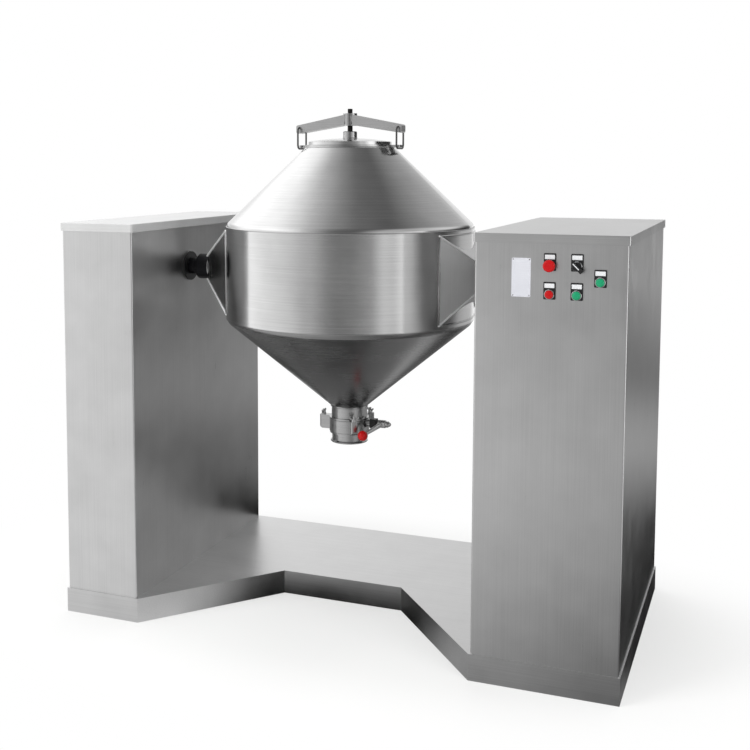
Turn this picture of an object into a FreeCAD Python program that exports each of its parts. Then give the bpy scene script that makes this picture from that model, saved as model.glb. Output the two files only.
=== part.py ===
import FreeCAD, Part
import math
import os

# Double cone mixer, 300 litre class, in millimetres.
# Z is up, X runs along the trunnion axis, the control front faces -Y.
# The origin is on the floor, at the centre of the footprint.

# Driving dimensions of the stand
machine_height = 1300.0
base_depth = 950.0
base_height = 80.0
base_proud = 4.0            # how far the base stands out past the pedestals
left_pedestal_width = 260.0
right_pedestal_width = 420.0
barrel_radius = 406.0
left_gap = 188.0            # barrel to the left pedestal
right_gap = 112.0           # barrel to the right pedestal
axis_setback = 386.0        # pedestal front to trunnion axis
axis_drop = 163.0           # top of the machine to the trunnion axis

# Base: folded tray, closing plate and welded rails
base_sheet = 3.0
base_plate = 4.0
notch_width = 425.0         # straight inner edge of the front notch
notch_offset = -37.5        # middle of that edge, seen from the vessel axis
notch_setback = 416.0       # pedestal front to that edge
notch_toe = 5.0             # slanted edges start this far inside the gap
rail_width = 60.0
rail_wall = 4.0
rail_inset = 30.0

# Pedestals: folded housings, lids and rear panels
housing_sheet = 2.0
housing_corner = 5.0
flange_width = 26.0
cover_skirt = 26.0
cover_overhang = 5.0
cover_corner = 6.0
panel_sheet = 2.0
panel_margin = 8.0
panel_gap = 12.0            # panel edge to the base and to the lid skirt
screw_radius = 3.0
screw_head_radius = 6.0
screw_head_height = 3.0
screw_play = 0.3
screw_rows = 5
louvre_count = 9
louvre_pitch = 24.0
louvre_slot = 7.0
louvre_length = 180.0
louvre_top = 520.0
shaft_port_radius = 38.0

# Vessel
barrel_height = 298.0
barrel_wall = 6.0
barrel_edge = 1.5
cone_wall = 4.0
cone_step = 3.0             # barrel stands proud of the cones
cone_knuckle = 22.0
upper_cone_height = 257.0
mouth_cone_radius = 146.0
lower_cone_height = 296.0
neck_radius = 59.0
neck_wall = 3.0
ring_height = 8.0
ring_inner = 126.0

# Lid and its clamp
lid_radius = 136.0
lid_wall = 4.0
lid_rim = 10.0
lid_rise = 12.0
gasket_inner = 126.5
gasket_height = 4.0
face_gap = 0.3
foot_radius = 23.0
foot_height = 22.0
foot_bore_depth = 15.0
screw_rod_radius = 8.0
screw_rod_top = 95.0        # rod end above the lid
rod_head_side = 13.0
rod_head_height = 14.0
running_play = 0.05
thread_depth = 1.1           # from the clamp screw's core to its thread in the hub
beam_hub_radius = 23.0
beam_hub_low = 40.0         # hub underside above the lid
beam_hub_height = 40.0
beam_half_length = 182.0
beam_width = 40.0
beam_end_height = 27.0
beam_root_height = 34.0
beam_droop = 36.0
beam_drop = 2.0              # arms below the top of the hub
beam_tip = 6.0
bail_wire = 3.0
bail_reach = 170.0
bail_pivot_depth = 10.0     # cross bores below the top of the arms
bail_half_width = 35.0
bail_bend = 12.0
bail_foot_bend = 14.0
bail_pin_depth = 12.0
bail_play = 0.5
lug_tip = 5.0
lug_width = 34.0

# Discharge valve
neck_flange_radius = 66.0
neck_flange_height = 5.0
neck_length = 42.0
ear_reach = 102.0
ear_hole_reach = 91.0
ear_width = 26.0
ear_round = 8.0
ear_height = 41.0
ear_corner = 13.0            # rounding of an ear's lower outer corner
ear_count = 3
stud_radius = 4.0
stud_above = 17.0
stud_below = 24.0            # stud inside the valve's ear
wing_nut_radius = 8.0
wing_nut_height = 9.0
wing_span = 17.0
wing_thickness = 4.0
wing_lift = 2.0
wing_rise = 14.0
wing_tip = 4.0
wing_slope = 3.0
valve_body_radius = 66.0
valve_body_height = 43.0
valve_bore = 57.0
stem_depth = 13.0           # stem axis below the top of the valve body
seat_height = 20.0
disc_radius = 54.0
disc_hub_half = 6.0
disc_edge_half = 2.0
disc_play = 0.05
stem_radius = 7.0
stem_boss_radius = 12.0
stem_boss_reach = 76.0
stem_tail = 62.0
notch_plate_size = 30.0
notch_plate_depth = 20.0
lever_head_radius = 13.0
lever_head_start = 101.0
lever_head_length = 28.0
stem_tip = 9.0               # stem past the lever's head
lever_bar = 9.0
lever_length = 112.0
lever_drop = 17.0
lever_crank = 26.0
lever_taper = 0.55
lever_seat = 0.45            # share of the head where the arm starts
knob_radius = 16.5
spout_radius = 57.0
spout_wall = 3.0
spout_length = 35.0
spout_flange_radius = 64.0
spout_flange_height = 5.0
spout_lip_radius = 62.0
spout_lip_height = 6.0

# Trunnions, bearings and drive
bracket_half_width = 190.0
bracket_margin = 13.0        # bracket root to the barrel's rim
bracket_end_half = 40.0
bracket_wall = 6.0
left_bracket_throw = 99.0    # bracket end past the barrel
right_bracket_throw = 42.0
hub_radius = 43.0
hub_length = 50.0
shaft_radius = 28.0
left_bearing_inset = 120.0   # wall to bearing centre
right_bearing_inset = 90.0
shaft_tail = 50.0
journal_radius = 25.0
wall_ring_radius = 50.0
wall_ring_thickness = 6.0
wall_ring_play = 0.5
bearing_width = 40.0
bearing_bore = 45.0
bearing_split = 36.0
bearing_housing_radius = 62.0
bearing_housing_width = 52.0
bearing_seat = 72.0          # housing foot to bearing centre
bearing_foot_half = 108.0
bearing_foot_height = 22.0
shoulder_foot_half = 68.0
shoulder_top_half = 50.0
bearing_bolt_span = 86.0
bearing_bolt_radius = 8.0
bolt_play = 0.5
bolt_tail = 4.0
stand_post = 50.0
stand_post_wall = 5.0
stand_post_span = 132.0
stand_top = 15.0
stand_foot = 12.0
stand_foot_margin = 15.0
stand_low_tie = 220.0
stand_high_tie = 560.0
shelf_thickness = 12.0
shelf_rib_drop = 178.0
shelf_column_drop = 218.0
shelf_tie_drop = 248.0
shelf_tie_height = 40.0
gearbox_offset = 140.0       # right bearing to gearbox centre
gearbox_width = 120.0
gearbox_depth = 190.0
gearbox_above = 95.0
gearbox_below = 168.0
worm_drop = 80.0
worm_cap_radius = 34.0
worm_cap_height = 8.0
gearbox_crown = 55.0
gearbox_foot_reach = 26.0
gearbox_foot_height = 14.0
gearbox_bolt_radius = 6.0
gearbox_bolt_inset = 16.0
gearbox_bolt_reach = 13.0
journal_tail = 20.0
gearbox_boss_radius = 62.0
gearbox_boss_height = 10.0
motor_flange_radius = 68.8
motor_flange_height = 14.0
motor_radius = 64.0
motor_length = 230.0
motor_shield = 8.0
fin_count = 18
fin_height = 9.0
fin_thickness = 3.0
cowl_radius = 76.0
cowl_length = 62.0
cowl_sheet = 1.5
cowl_corner = 12.0
cowl_hole_radius = 4.0
cowl_hole_pitch = 16.0
cowl_hole_rows = 3
terminal_box_side = 84.0
terminal_box_height = 46.0
terminal_lid_proud = 2.0
terminal_lid_height = 4.0
terminal_lid_drop = 8.0

# Control gear on its back plate; the layout is in shares of the plate's width and height
gear_plate_low = 340.0       # plate's foot above the base
gear_plate_height = 440.0
gear_plate_width = 260.0
gear_plate_sheet = 3.0
gear_plate_setback = 60.0
stand_off_length = 14.0
stand_off_radius = 6.0
stand_off_inset = 20.0
inverter_place = (0.08, 0.52, 0.42, 0.41, 0.46)
relay_place = (0.60, 0.34, 0.29, 0.18, 0.23)
strip_place = (0.10, 0.11, 0.80, 0.09, 0.15)
contactor_places = ((0.60, 0.68, 0.16, 0.18, 0.27), (0.79, 0.68, 0.16, 0.18, 0.27))
contactor_nose = 0.05

# Operating controls on the right pedestal
control_left = 210.0         # wall to the first column of heads
control_middle = 284.0
control_right = 346.5
control_top_drop = 86.0      # top of the machine to each row
control_jog_drop = 127.0
control_bottom_drop = 165.0
holder_width = 33.0
holder_height = 48.0
holder_thickness = 3.0
holder_drop = 10.0           # holder centre above the head centre
label_width = 27.0
label_height = 12.0
label_thickness = 0.6
label_rise = 24.0            # label centre above the head centre
barrel_hole = 11.15
switch_barrel = 10.9
bezel_radius = 14.0
bezel_height = 5.0
head_radius = 9.2
head_bore = 9.5
head_front = 8.0             # button face ahead of the holder
head_back = 1.5
pocket_depth = 6.0
guide_radius = 5.0
guide_length = 15.5
switch_length = 25.0
block_side = 30.0
block_depth = 34.0
mushroom_radius = 17.0
mushroom_height = 9.0
mushroom_gap = 5.0
selector_radius = 12.5
selector_disc = 5.0
selector_gap = 0.6
selector_tail = 0.39         # share of the grip bar behind the centre
selector_bar_width = 10.5
selector_bar_corner = 2.0
selector_bar_height = 9.0
selector_bar_length = 36.0
selector_tilt = 45.0
pointer_width = 2.4
pointer_proud = 0.5
pointer_inset = 1.5          # from the end of the bar's tail
pointer_reach = 0.3          # share of the bar in front of the centre
nameplate_width = 53.0
nameplate_height = 108.0
nameplate_left = 131.0       # wall to the middle of the plate
nameplate_drop = 121.0
nameplate_thickness = 1.0

# Places that follow from the dimensions above
base_length = (2 * base_proud + left_pedestal_width + left_gap + 2 * barrel_radius
               + right_gap + right_pedestal_width)
base_left = -base_length / 2
base_right = base_length / 2
base_front = -base_depth / 2
base_rear = base_depth / 2
ped_front = base_front + base_proud
ped_rear = base_rear - base_proud
left_outer = base_left + base_proud
left_wall = left_outer + left_pedestal_width
right_outer = base_right - base_proud
right_wall = right_outer - right_pedestal_width
left_reach = barrel_radius + left_gap
vessel_x = left_wall + left_reach
vessel_y = ped_front + axis_setback
axis_z = machine_height - axis_drop
right_reach = right_wall - vessel_x
left_bracket_reach = barrel_radius + left_bracket_throw
right_bracket_reach = barrel_radius + right_bracket_throw
housing_top = machine_height - housing_sheet
bracket_half_height = barrel_height / 2 - bracket_margin
barrel_top = axis_z + barrel_height / 2
barrel_low = axis_z - barrel_height / 2
cone_top = barrel_top + upper_cone_height
ring_top = cone_top + ring_height
lid_low = ring_top + face_gap
lid_top = lid_low + lid_rim + lid_rise
hub_low = lid_top + beam_hub_low
beam_top = hub_low + beam_hub_height
bail_pivot_z = beam_top - beam_drop - beam_droop * bail_reach / beam_half_length - bail_pivot_depth
bail_low_z = cone_top - bail_play - bail_wire
cone_low = barrel_low - lower_cone_height
flange_top = cone_low - neck_length + neck_flange_height
valve_top = flange_top - neck_flange_height
valve_low = valve_top - valve_body_height
stem_z = valve_top - stem_depth
spout_low = valve_low - spout_length
left_bearing_x = left_wall - left_bearing_inset
right_bearing_x = right_wall + right_bearing_inset
gearbox_x = right_bearing_x + gearbox_offset
stand_seat_z = axis_z - bearing_seat
worm_z = axis_z - worm_drop
shelf_top = axis_z - gearbox_below
gear_plate_x = right_outer - housing_sheet - stand_off_length
gear_plate_y = ped_front + gear_plate_setback
gear_plate_z = base_height + gear_plate_low

V = FreeCAD.Vector
AX = V(1, 0, 0)
AY = V(0, 1, 0)
AZ = V(0, 0, 1)


def box(x0, x1, y0, y1, z0, z1):
    """Block between two corners."""
    return Part.makeBox(x1 - x0, y1 - y0, z1 - z0, V(x0, y0, z0))


def rod(start, axis, length, radius):
    """Cylinder from a point along an axis."""
    return Part.makeCylinder(radius, length, start, axis)


def tube(start, axis, length, outer, inner):
    """Cylinder with a bore right through."""
    return rod(start, axis, length, outer).cut(rod(start, axis, length, inner))


def prism(points, depth):
    """Flat closed outline pushed along a vector."""
    return Part.Face(Part.makePolygon(points + [points[0]])).extrude(depth)


def spun(edges, centre_x, centre_y):
    """Closed outline in the XZ plane turned about a vertical axis."""
    face = Part.Face(Part.Wire(edges))
    solid = face.revolve(V(0, 0, 0), AZ, 360)
    return solid.translated(V(centre_x, centre_y, 0))


def ring_profile(points, centre_x, centre_y):
    """Straight-sided outline of (radius, z) points turned about a vertical axis."""
    corners = [V(r, 0, z) for r, z in points]
    wire = Part.makePolygon(corners + [corners[0]])
    return spun(wire.Edges, centre_x, centre_y)


def hexagon(centre, axis, across, height):
    """Hexagonal prism standing on a point."""
    radius = across / math.sqrt(3)
    points = []
    for i in range(6):
        turn = math.radians(60 * i)
        points.append(V(radius * math.cos(turn), radius * math.sin(turn), 0))
    solid = prism(points, V(0, 0, height))
    solid.Placement = FreeCAD.Placement(centre, FreeCAD.Rotation(AZ, axis))
    return solid


def join(parts):
    """One solid from touching or overlapping pieces."""
    whole = parts[0].fuse(parts[1:])
    return whole.removeSplitter()


def group(parts):
    """Separate solids kept in one node."""
    solids = []
    for part in parts:
        solids.extend(part.Solids)
    return Part.makeCompound(solids)


def upright_edges(shape):
    """Edges of a block that run along Z."""
    found = []
    for edge in shape.Edges:
        a = edge.Vertexes[0].Point
        b = edge.Vertexes[-1].Point
        if abs(a.x - b.x) < 0.01 and abs(a.y - b.y) < 0.01 and abs(a.z - b.z) > 1:
            found.append(edge)
    return found


def save(name, shape):
    """Write one node, after making sure that its solids are sound."""
    if not shape.isValid() or shape.Volume <= 0:
        raise RuntimeError(name + " is not a sound solid")
    shape.exportStep("parts/" + name + ".step")


# Base

def base_outline(inset):
    """Floor plan with the front notch, drawn in by an inset."""
    notch_mid = vessel_x + notch_offset
    notch_y = ped_front + notch_setback
    corners = [
        V(base_left, base_front, 0),
        V(left_wall + notch_toe, base_front, 0),
        V(notch_mid - notch_width / 2, notch_y, 0),
        V(notch_mid + notch_width / 2, notch_y, 0),
        V(right_wall - notch_toe, base_front, 0),
        V(base_right, base_front, 0),
        V(base_right, base_rear, 0),
        V(base_left, base_rear, 0),
    ]
    face = Part.Face(Part.makePolygon(corners + [corners[0]]))
    if inset > 0:
        face = face.makeOffset2D(-inset, join=2)
    return face


def make_base_plinth():
    """Tray with a flat top and skirts down to the floor, open underneath."""
    outer = base_outline(0).extrude(V(0, 0, base_height))
    inner = base_outline(base_sheet).extrude(V(0, 0, base_height - base_sheet))
    return outer.cut(inner)


def make_base_bottom_plate():
    """Plate that closes the tray and lies on the floor."""
    return base_outline(base_sheet).extrude(V(0, 0, base_plate))


def rail(x0, x1, y0, y1):
    """Box-section rail between the bottom plate and the tray."""
    low = base_plate
    high = base_height - base_sheet
    outer = box(x0, x1, y0, y1, low, high)
    wall = rail_wall
    inner = box(x0 + wall, x1 - wall, y0 + wall, y1 - wall, low + wall, high - wall)
    return outer, inner


def make_base_frame():
    """Welded rails under both pedestals, joined by two long rails."""
    x0 = base_left + base_sheet + rail_inset
    x1 = base_right - base_sheet - rail_inset
    y0 = base_front + base_sheet + rail_inset
    y1 = base_rear - base_sheet - rail_inset
    notch_y = ped_front + notch_setback
    middle_y = notch_y + rail_inset
    spans = [
        (x0, x1, y1 - rail_width, y1),
        (x0, x1, middle_y, middle_y + rail_width),
        (x0, left_wall - rail_inset, y0, y0 + rail_width),
        (right_wall + rail_inset, x1, y0, y0 + rail_width),
        (x0, x0 + rail_width, y0, y1),
        (left_wall - rail_inset - rail_width, left_wall - rail_inset, y0, y1),
        (right_wall + rail_inset, right_wall + rail_inset + rail_width, y0, y1),
        (x1 - rail_width, x1, y0, y1),
    ]
    outers = []
    inners = []
    for span in spans:
        outer, inner = rail(*span)
        outers.append(outer)
        inners.append(inner)
    return join(outers).cut(inners[0].fuse(inners[1:]))


# Pedestals

def screw_places(x0, x1):
    """Centres of a rear panel's screws, as (x, z)."""
    low = base_height + panel_gap + flange_width / 2
    high = machine_height - cover_skirt - panel_gap - flange_width / 2
    places = []
    for x in (x0 + flange_width / 2 + panel_margin, x1 - flange_width / 2 - panel_margin):
        for i in range(screw_rows):
            places.append((x, low + (high - low) * i / (screw_rows - 1)))
    return places


def make_housing(x0, x1, port_x, holes):
    """Folded housing with return flanges, open at the top, foot and rear."""
    low = base_height
    high = housing_top
    body = box(x0, x1, ped_front, ped_rear, low, high)
    body = body.makeFillet(housing_corner, upright_edges(body))
    s = housing_sheet
    f = flange_width + s
    room = box(x0 + s, x1 - s, ped_front + s, ped_rear - s, low + s, high - s)
    room = room.makeFillet(housing_corner - s, upright_edges(room))
    hollow = room.fuse([
        box(x0 + f, x1 - f, ped_front + f, ped_rear - f, low - s, high + s),
        box(x0 + f + panel_margin, x1 - f - panel_margin, ped_rear - 2 * s, ped_rear + s,
            low + f + panel_gap, high - f - panel_gap - cover_skirt),
        rod(V(port_x - 3 * s, vessel_y, axis_z), AX, 6 * s, shaft_port_radius),
    ])
    for x, z in screw_places(x0, x1):
        hollow = hollow.fuse(rod(V(x, ped_rear - 2 * s, z), AY, 3 * s, screw_radius + screw_play))
    for x, z in holes:
        hollow = hollow.fuse(rod(V(x, ped_front - s, z), AY, 3 * s, barrel_hole))
    return body.cut(hollow)


def make_top_cover(x0, x1):
    """Pressed lid with a skirt, lapped over the housing."""
    o = cover_overhang
    s = housing_sheet
    low = machine_height - cover_skirt
    outer = box(x0 - o, x1 + o, ped_front - o, ped_rear + o, low, machine_height)
    outer = outer.makeFillet(cover_corner, upright_edges(outer))
    inner = box(x0 - o + s, x1 + o - s, ped_front - o + s, ped_rear + o - s, low - s, housing_top)
    inner = inner.makeFillet(cover_corner - s, upright_edges(inner))
    cover = outer.cut(inner)
    rim = [e for e in cover.Edges if e.BoundBox.ZMin > machine_height - 0.01]
    return cover.makeFillet(s * 0.9, rim)


def make_rear_panel(x0, x1, vented):
    """Screwed access panel on the rear flanges."""
    low = base_height + panel_gap
    high = machine_height - cover_skirt - panel_gap
    sheet = box(x0 + panel_margin, x1 - panel_margin, ped_rear, ped_rear + panel_sheet, low, high)
    cuts = []
    for x, z in screw_places(x0, x1):
        cuts.append(rod(V(x, ped_rear - 1, z), AY, panel_sheet + 2, screw_radius + screw_play))
    if vented:
        middle = (x0 + x1) / 2
        for i in range(louvre_count):
            z = louvre_top - i * louvre_pitch
            slot = box(middle - louvre_length / 2, middle + louvre_length / 2,
                       ped_rear - 1, ped_rear + panel_sheet + 1, z, z + louvre_slot)
            ends = [e for e in slot.Edges if abs(e.Length - panel_sheet - 2) < 0.01]
            cuts.append(slot.makeFillet(louvre_slot / 2 * 0.98, ends))
    return sheet.cut(cuts[0].fuse(cuts[1:]))


def make_panel_screws():
    """Pan head screws of both rear panels."""
    screws = []
    for x0, x1 in ((left_outer, left_wall), (right_wall, right_outer)):
        for x, z in screw_places(x0, x1):
            shank = rod(V(x, ped_rear - housing_sheet - 6, z), AY,
                        housing_sheet + 6 + panel_sheet, screw_radius)
            head = rod(V(x, ped_rear + panel_sheet, z), AY, screw_head_height, screw_head_radius)
            crown = [e for e in head.Edges if e.BoundBox.YMin > ped_rear + panel_sheet + 1]
            head = head.makeFillet(screw_head_height * 0.6, crown)
            screws.append(shank.fuse(head))
    return group(screws)


# Vessel

def cone_shell(big, small, height, foot_z, upwards):
    """Spun cone of even thickness with a knuckle at its wide end."""
    k = cone_knuckle
    t = cone_wall
    reach = small - (big - k)
    slope = math.atan2(reach, height) + math.acos(k / math.hypot(height, reach))
    turn = math.pi / 2 - slope
    sign = 1 if upwards else -1

    def at(r, z):
        return V(r, 0, foot_z + sign * z)

    def on_knuckle(radius, angle):
        return at(big - k + radius * math.cos(angle), radius * math.sin(angle))

    inner_small = small - t / math.sin(slope)
    edges = [
        Part.Arc(on_knuckle(k, 0), on_knuckle(k, turn / 2), on_knuckle(k, turn)).toShape(),
        Part.LineSegment(on_knuckle(k, turn), at(small, height)).toShape(),
        Part.LineSegment(at(small, height), at(inner_small, height)).toShape(),
        Part.LineSegment(at(inner_small, height), on_knuckle(k - t, turn)).toShape(),
        Part.Arc(on_knuckle(k - t, turn), on_knuckle(k - t, turn / 2),
                 on_knuckle(k - t, 0)).toShape(),
        Part.LineSegment(on_knuckle(k - t, 0), on_knuckle(k, 0)).toShape(),
    ]
    return spun(edges, vessel_x, vessel_y)


def make_barrel_band():
    """Cylindrical belt between the cones, with rolled edges."""
    c = barrel_edge
    r = barrel_radius
    return ring_profile([
        (r - barrel_wall, barrel_low), (r - c, barrel_low), (r, barrel_low + c),
        (r, barrel_top - c), (r - c, barrel_top), (r - barrel_wall, barrel_top),
    ], vessel_x, vessel_y)


def make_mouth_ring():
    """Flat rim welded on the upper cone, with the two clamp lugs."""
    ring = ring_profile([
        (ring_inner, cone_top), (mouth_cone_radius, cone_top),
        (mouth_cone_radius, ring_top), (ring_inner, ring_top),
    ], vessel_x, vessel_y)
    lugs = []
    for side in (-1, 1):
        near = vessel_x + side * (mouth_cone_radius - 8)
        far = vessel_x + side * (bail_reach + lug_tip)
        lug = box(min(near, far), max(near, far), vessel_y - lug_width / 2,
                  vessel_y + lug_width / 2, cone_top, ring_top)
        tip = [e for e in upright_edges(lug) if abs(e.Vertexes[0].X - far) < 0.01]
        lugs.append(lug.makeFillet(6, tip))
    return join([ring] + lugs)


def bracket_section(x, half_width, half_height):
    """Rectangle across the trunnion axis."""
    points = []
    for y, z in ((-1, -1), (1, -1), (1, 1), (-1, 1)):
        points.append(V(x, vessel_y + y * half_width, axis_z + z * half_height))
    return Part.makePolygon(points + [points[0]])


def make_trunnion_bracket(side, reach):
    """Hollow pyramid of sheet that spreads the shaft's load over the barrel."""
    root = math.sqrt(barrel_radius ** 2 - bracket_half_width ** 2)
    x_root = vessel_x + side * root
    x_end = vessel_x + side * reach
    w = bracket_wall
    outer = Part.makeLoft([
        bracket_section(x_root, bracket_half_width, bracket_half_height),
        bracket_section(x_end, bracket_end_half, bracket_end_half),
    ], True, True)
    inner = Part.makeLoft([
        bracket_section(x_root - side, bracket_half_width - w, bracket_half_height - w),
        bracket_section(x_end - side * 2 * w, bracket_end_half - w, bracket_end_half - w),
    ], True, True)
    barrel = rod(V(vessel_x, vessel_y, barrel_low - 10), AZ, barrel_height + 20, barrel_radius)
    return outer.cut(inner).cut(barrel)


def make_trunnion_shaft(side, reach, wall_reach, inset, end_reach, journal):
    """Turned stub: hub, shaft and, on the drive side, a smaller journal."""
    start = V(vessel_x + side * reach, vessel_y, axis_z)
    axis = V(side, 0, 0)
    hub = rod(start, axis, hub_length, hub_radius)
    rim = [e for e in hub.Edges if abs(e.Vertexes[0].X - start.x) > 1]
    hub = hub.makeChamfer(4, rim)
    shaft_end = wall_reach + inset + shaft_tail
    pieces = [hub, rod(start, axis, shaft_end - reach, shaft_radius)]
    if journal:
        pieces.append(rod(start, axis, end_reach - reach, journal_radius))
    return join(pieces)


# Lid and clamp

def make_lid():
    """Dished lid with a turned-down rim over the gasket."""
    r = lid_radius
    t = lid_wall
    low = lid_low
    rim = low + lid_rim
    dome = (r * r + lid_rise ** 2) / (2 * lid_rise)

    def on_dome(radius, across):
        return V(across, 0, rim + lid_rise - dome + math.sqrt(radius ** 2 - across ** 2))

    inner = dome - t
    inner_r = gasket_inner - 2
    edges = [
        Part.LineSegment(V(r, 0, low), V(r, 0, rim)).toShape(),
        Part.Arc(V(r, 0, rim), on_dome(dome, r / 2), on_dome(dome, 0)).toShape(),
        Part.LineSegment(on_dome(dome, 0), on_dome(inner, 0)).toShape(),
        Part.Arc(on_dome(inner, 0), on_dome(inner, inner_r / 2), on_dome(inner, inner_r)).toShape(),
        Part.LineSegment(on_dome(inner, inner_r), V(inner_r, 0, low + gasket_height)).toShape(),
        Part.LineSegment(V(inner_r, 0, low + gasket_height), V(r - t, 0, low + gasket_height)).toShape(),
        Part.LineSegment(V(r - t, 0, low + gasket_height), V(r - t, 0, low)).toShape(),
        Part.LineSegment(V(r - t, 0, low), V(r, 0, low)).toShape(),
    ]
    return spun(edges, vessel_x, vessel_y)


def make_lid_gasket():
    """Soft ring in the rim of the lid."""
    return ring_profile([
        (gasket_inner, lid_low), (lid_radius - lid_wall, lid_low),
        (lid_radius - lid_wall, lid_low + gasket_height), (gasket_inner, lid_low + gasket_height),
    ], vessel_x, vessel_y)


def make_clamp_foot():
    """Round foot that carries the screw's end on the lid."""
    foot = rod(V(vessel_x, vessel_y, lid_top - 1), AZ, foot_height + 1, foot_radius)
    top = lid_top + foot_height
    rim = [e for e in foot.Edges if e.BoundBox.ZMin > top - 0.01]
    foot = foot.makeChamfer(2, rim)
    bore = rod(V(vessel_x, vessel_y, top - foot_bore_depth), AZ, foot_bore_depth + 1,
               screw_rod_radius + running_play)
    return foot.cut(bore).cut(make_lid())


def make_clamp_screw():
    """Threaded rod with a square head for the spanner."""
    low = lid_top + foot_height - foot_bore_depth + face_gap
    high = lid_top + screw_rod_top - rod_head_height
    shank = rod(V(vessel_x, vessel_y, low), AZ, high - low, screw_rod_radius)
    half = rod_head_side / 2
    head = box(vessel_x - half, vessel_x + half, vessel_y - half, vessel_y + half,
               high, high + rod_head_height)
    head = head.makeFillet(1.5, upright_edges(head))
    return join([shank, head])


def make_clamp_hub():
    """Boss in the middle of the beam, bored and threaded for the screw."""
    return tube(V(vessel_x, vessel_y, hub_low), AZ, beam_hub_height, beam_hub_radius,
                screw_rod_radius + thread_depth)


def make_clamp_beam():
    """Two drooping arms welded to the hub, with cross bores for the bails."""
    half = beam_width / 2
    top = beam_top - beam_drop
    hub = rod(V(vessel_x, vessel_y, hub_low - beam_droop), AZ, beam_hub_height + beam_droop,
              beam_hub_radius)
    arms = []
    for side in (1, -1):
        profile = [
            (0, top), (beam_half_length, top - beam_droop),
            (beam_half_length, top - beam_droop - beam_end_height),
            (0, top - beam_root_height),
        ]
        outline = [V(vessel_x + side * x, vessel_y - half, z) for x, z in profile]
        arm = prism(outline, V(0, beam_width, 0))
        tips = [e for e in arm.Edges
                if abs(e.Length - beam_width) < 0.01 and
                abs(e.Vertexes[0].X - vessel_x - side * beam_half_length) < 0.01]
        arm = arm.makeFillet(beam_tip, tips).cut(hub)
        x = vessel_x + side * bail_reach
        for face in (-1, 1):
            mouth = V(x, vessel_y + face * (half + 1), bail_pivot_z)
            arm = arm.cut(rod(mouth, V(0, -face, 0), bail_pin_depth + 2, bail_wire + running_play))
        arms.append(arm)
    return group(arms)


def make_bail(side):
    """Bent wire loop: a pin at each top end, two legs and a round foot."""
    x = vessel_x + side * bail_reach
    b = bail_bend
    w = bail_half_width
    pin = beam_width / 2 - bail_pin_depth + 0.5
    top = bail_pivot_z
    low = bail_low_z
    foot = bail_foot_bend
    c = 1 / math.sqrt(2)

    def at(y, z):
        return V(x, vessel_y + y, z)

    path = [
        Part.LineSegment(at(-pin, top), at(-w + b, top)).toShape(),
        Part.Arc(at(-w + b, top), at(-w + b - b * c, top - b + b * c), at(-w, top - b)).toShape(),
        Part.LineSegment(at(-w, top - b), at(-w, low + foot)).toShape(),
        Part.Arc(at(-w, low + foot), at(-w + foot - foot * c, low + foot - foot * c),
                 at(-w + foot, low)).toShape(),
        Part.LineSegment(at(-w + foot, low), at(w - foot, low)).toShape(),
        Part.Arc(at(w - foot, low), at(w - foot + foot * c, low + foot - foot * c),
                 at(w, low + foot)).toShape(),
        Part.LineSegment(at(w, low + foot), at(w, top - b)).toShape(),
        Part.Arc(at(w, top - b), at(w - b + b * c, top - b + b * c), at(w - b, top)).toShape(),
        Part.LineSegment(at(w - b, top), at(pin, top)).toShape(),
    ]
    start = Part.Wire(Part.makeCircle(bail_wire, at(-pin, top), AY))
    return Part.Wire(path).makePipeShell([start], True, True)


# Discharge valve

def ear_places():
    """Centres of the clamping ears round the valve, as (angle, x, y)."""
    places = []
    for i in range(ear_count):
        turn = math.pi + 2 * math.pi * i / ear_count
        places.append((turn, vessel_x + ear_hole_reach * math.cos(turn),
                       vessel_y + ear_hole_reach * math.sin(turn)))
    return places


def make_ear(turn, low, high, corner=0):
    """Ear that reaches out from the valve's ring, with a rounded end."""
    half = ear_width / 2
    ear = box(neck_radius - 2, ear_reach, -half, half, low, high)
    ends = [e for e in upright_edges(ear) if e.Vertexes[0].X > ear_reach - 1]
    ear = ear.makeFillet(ear_round, ends)
    if corner:
        toe = box(ear_reach - corner, ear_reach + 1, -half - 1, half + 1, low - 1, low + corner)
        toe = toe.cut(rod(V(ear_reach - corner, -half - 1, low + corner), AY, ear_width + 2, corner))
        ear = ear.cut(toe)
    ear.rotate(V(0, 0, 0), AZ, math.degrees(turn))
    return ear.translated(V(vessel_x, vessel_y, 0))


def stud_hole(x, y, low, high):
    """Clearance hole for a stud."""
    return rod(V(x, y, low), AZ, high - low, stud_radius + running_play)


def make_outlet_neck():
    """Short pipe under the lower cone with a three-eared flange."""
    low = valve_top
    ring = ring_profile([
        (neck_radius - neck_wall, low), (neck_flange_radius, low),
        (neck_flange_radius, flange_top), (neck_radius, flange_top),
        (neck_radius, cone_low), (neck_radius - neck_wall, cone_low),
    ], vessel_x, vessel_y)
    bore = rod(V(vessel_x, vessel_y, low - 5), AZ, neck_length + 20, neck_radius - neck_wall)
    ears = [make_ear(turn, low, flange_top) for turn, x, y in ear_places()]
    neck = join([ring] + ears).cut(bore)
    for turn, x, y in ear_places():
        neck = neck.cut(stud_hole(x, y, low - 5, flange_top + 5))
    return neck


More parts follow.
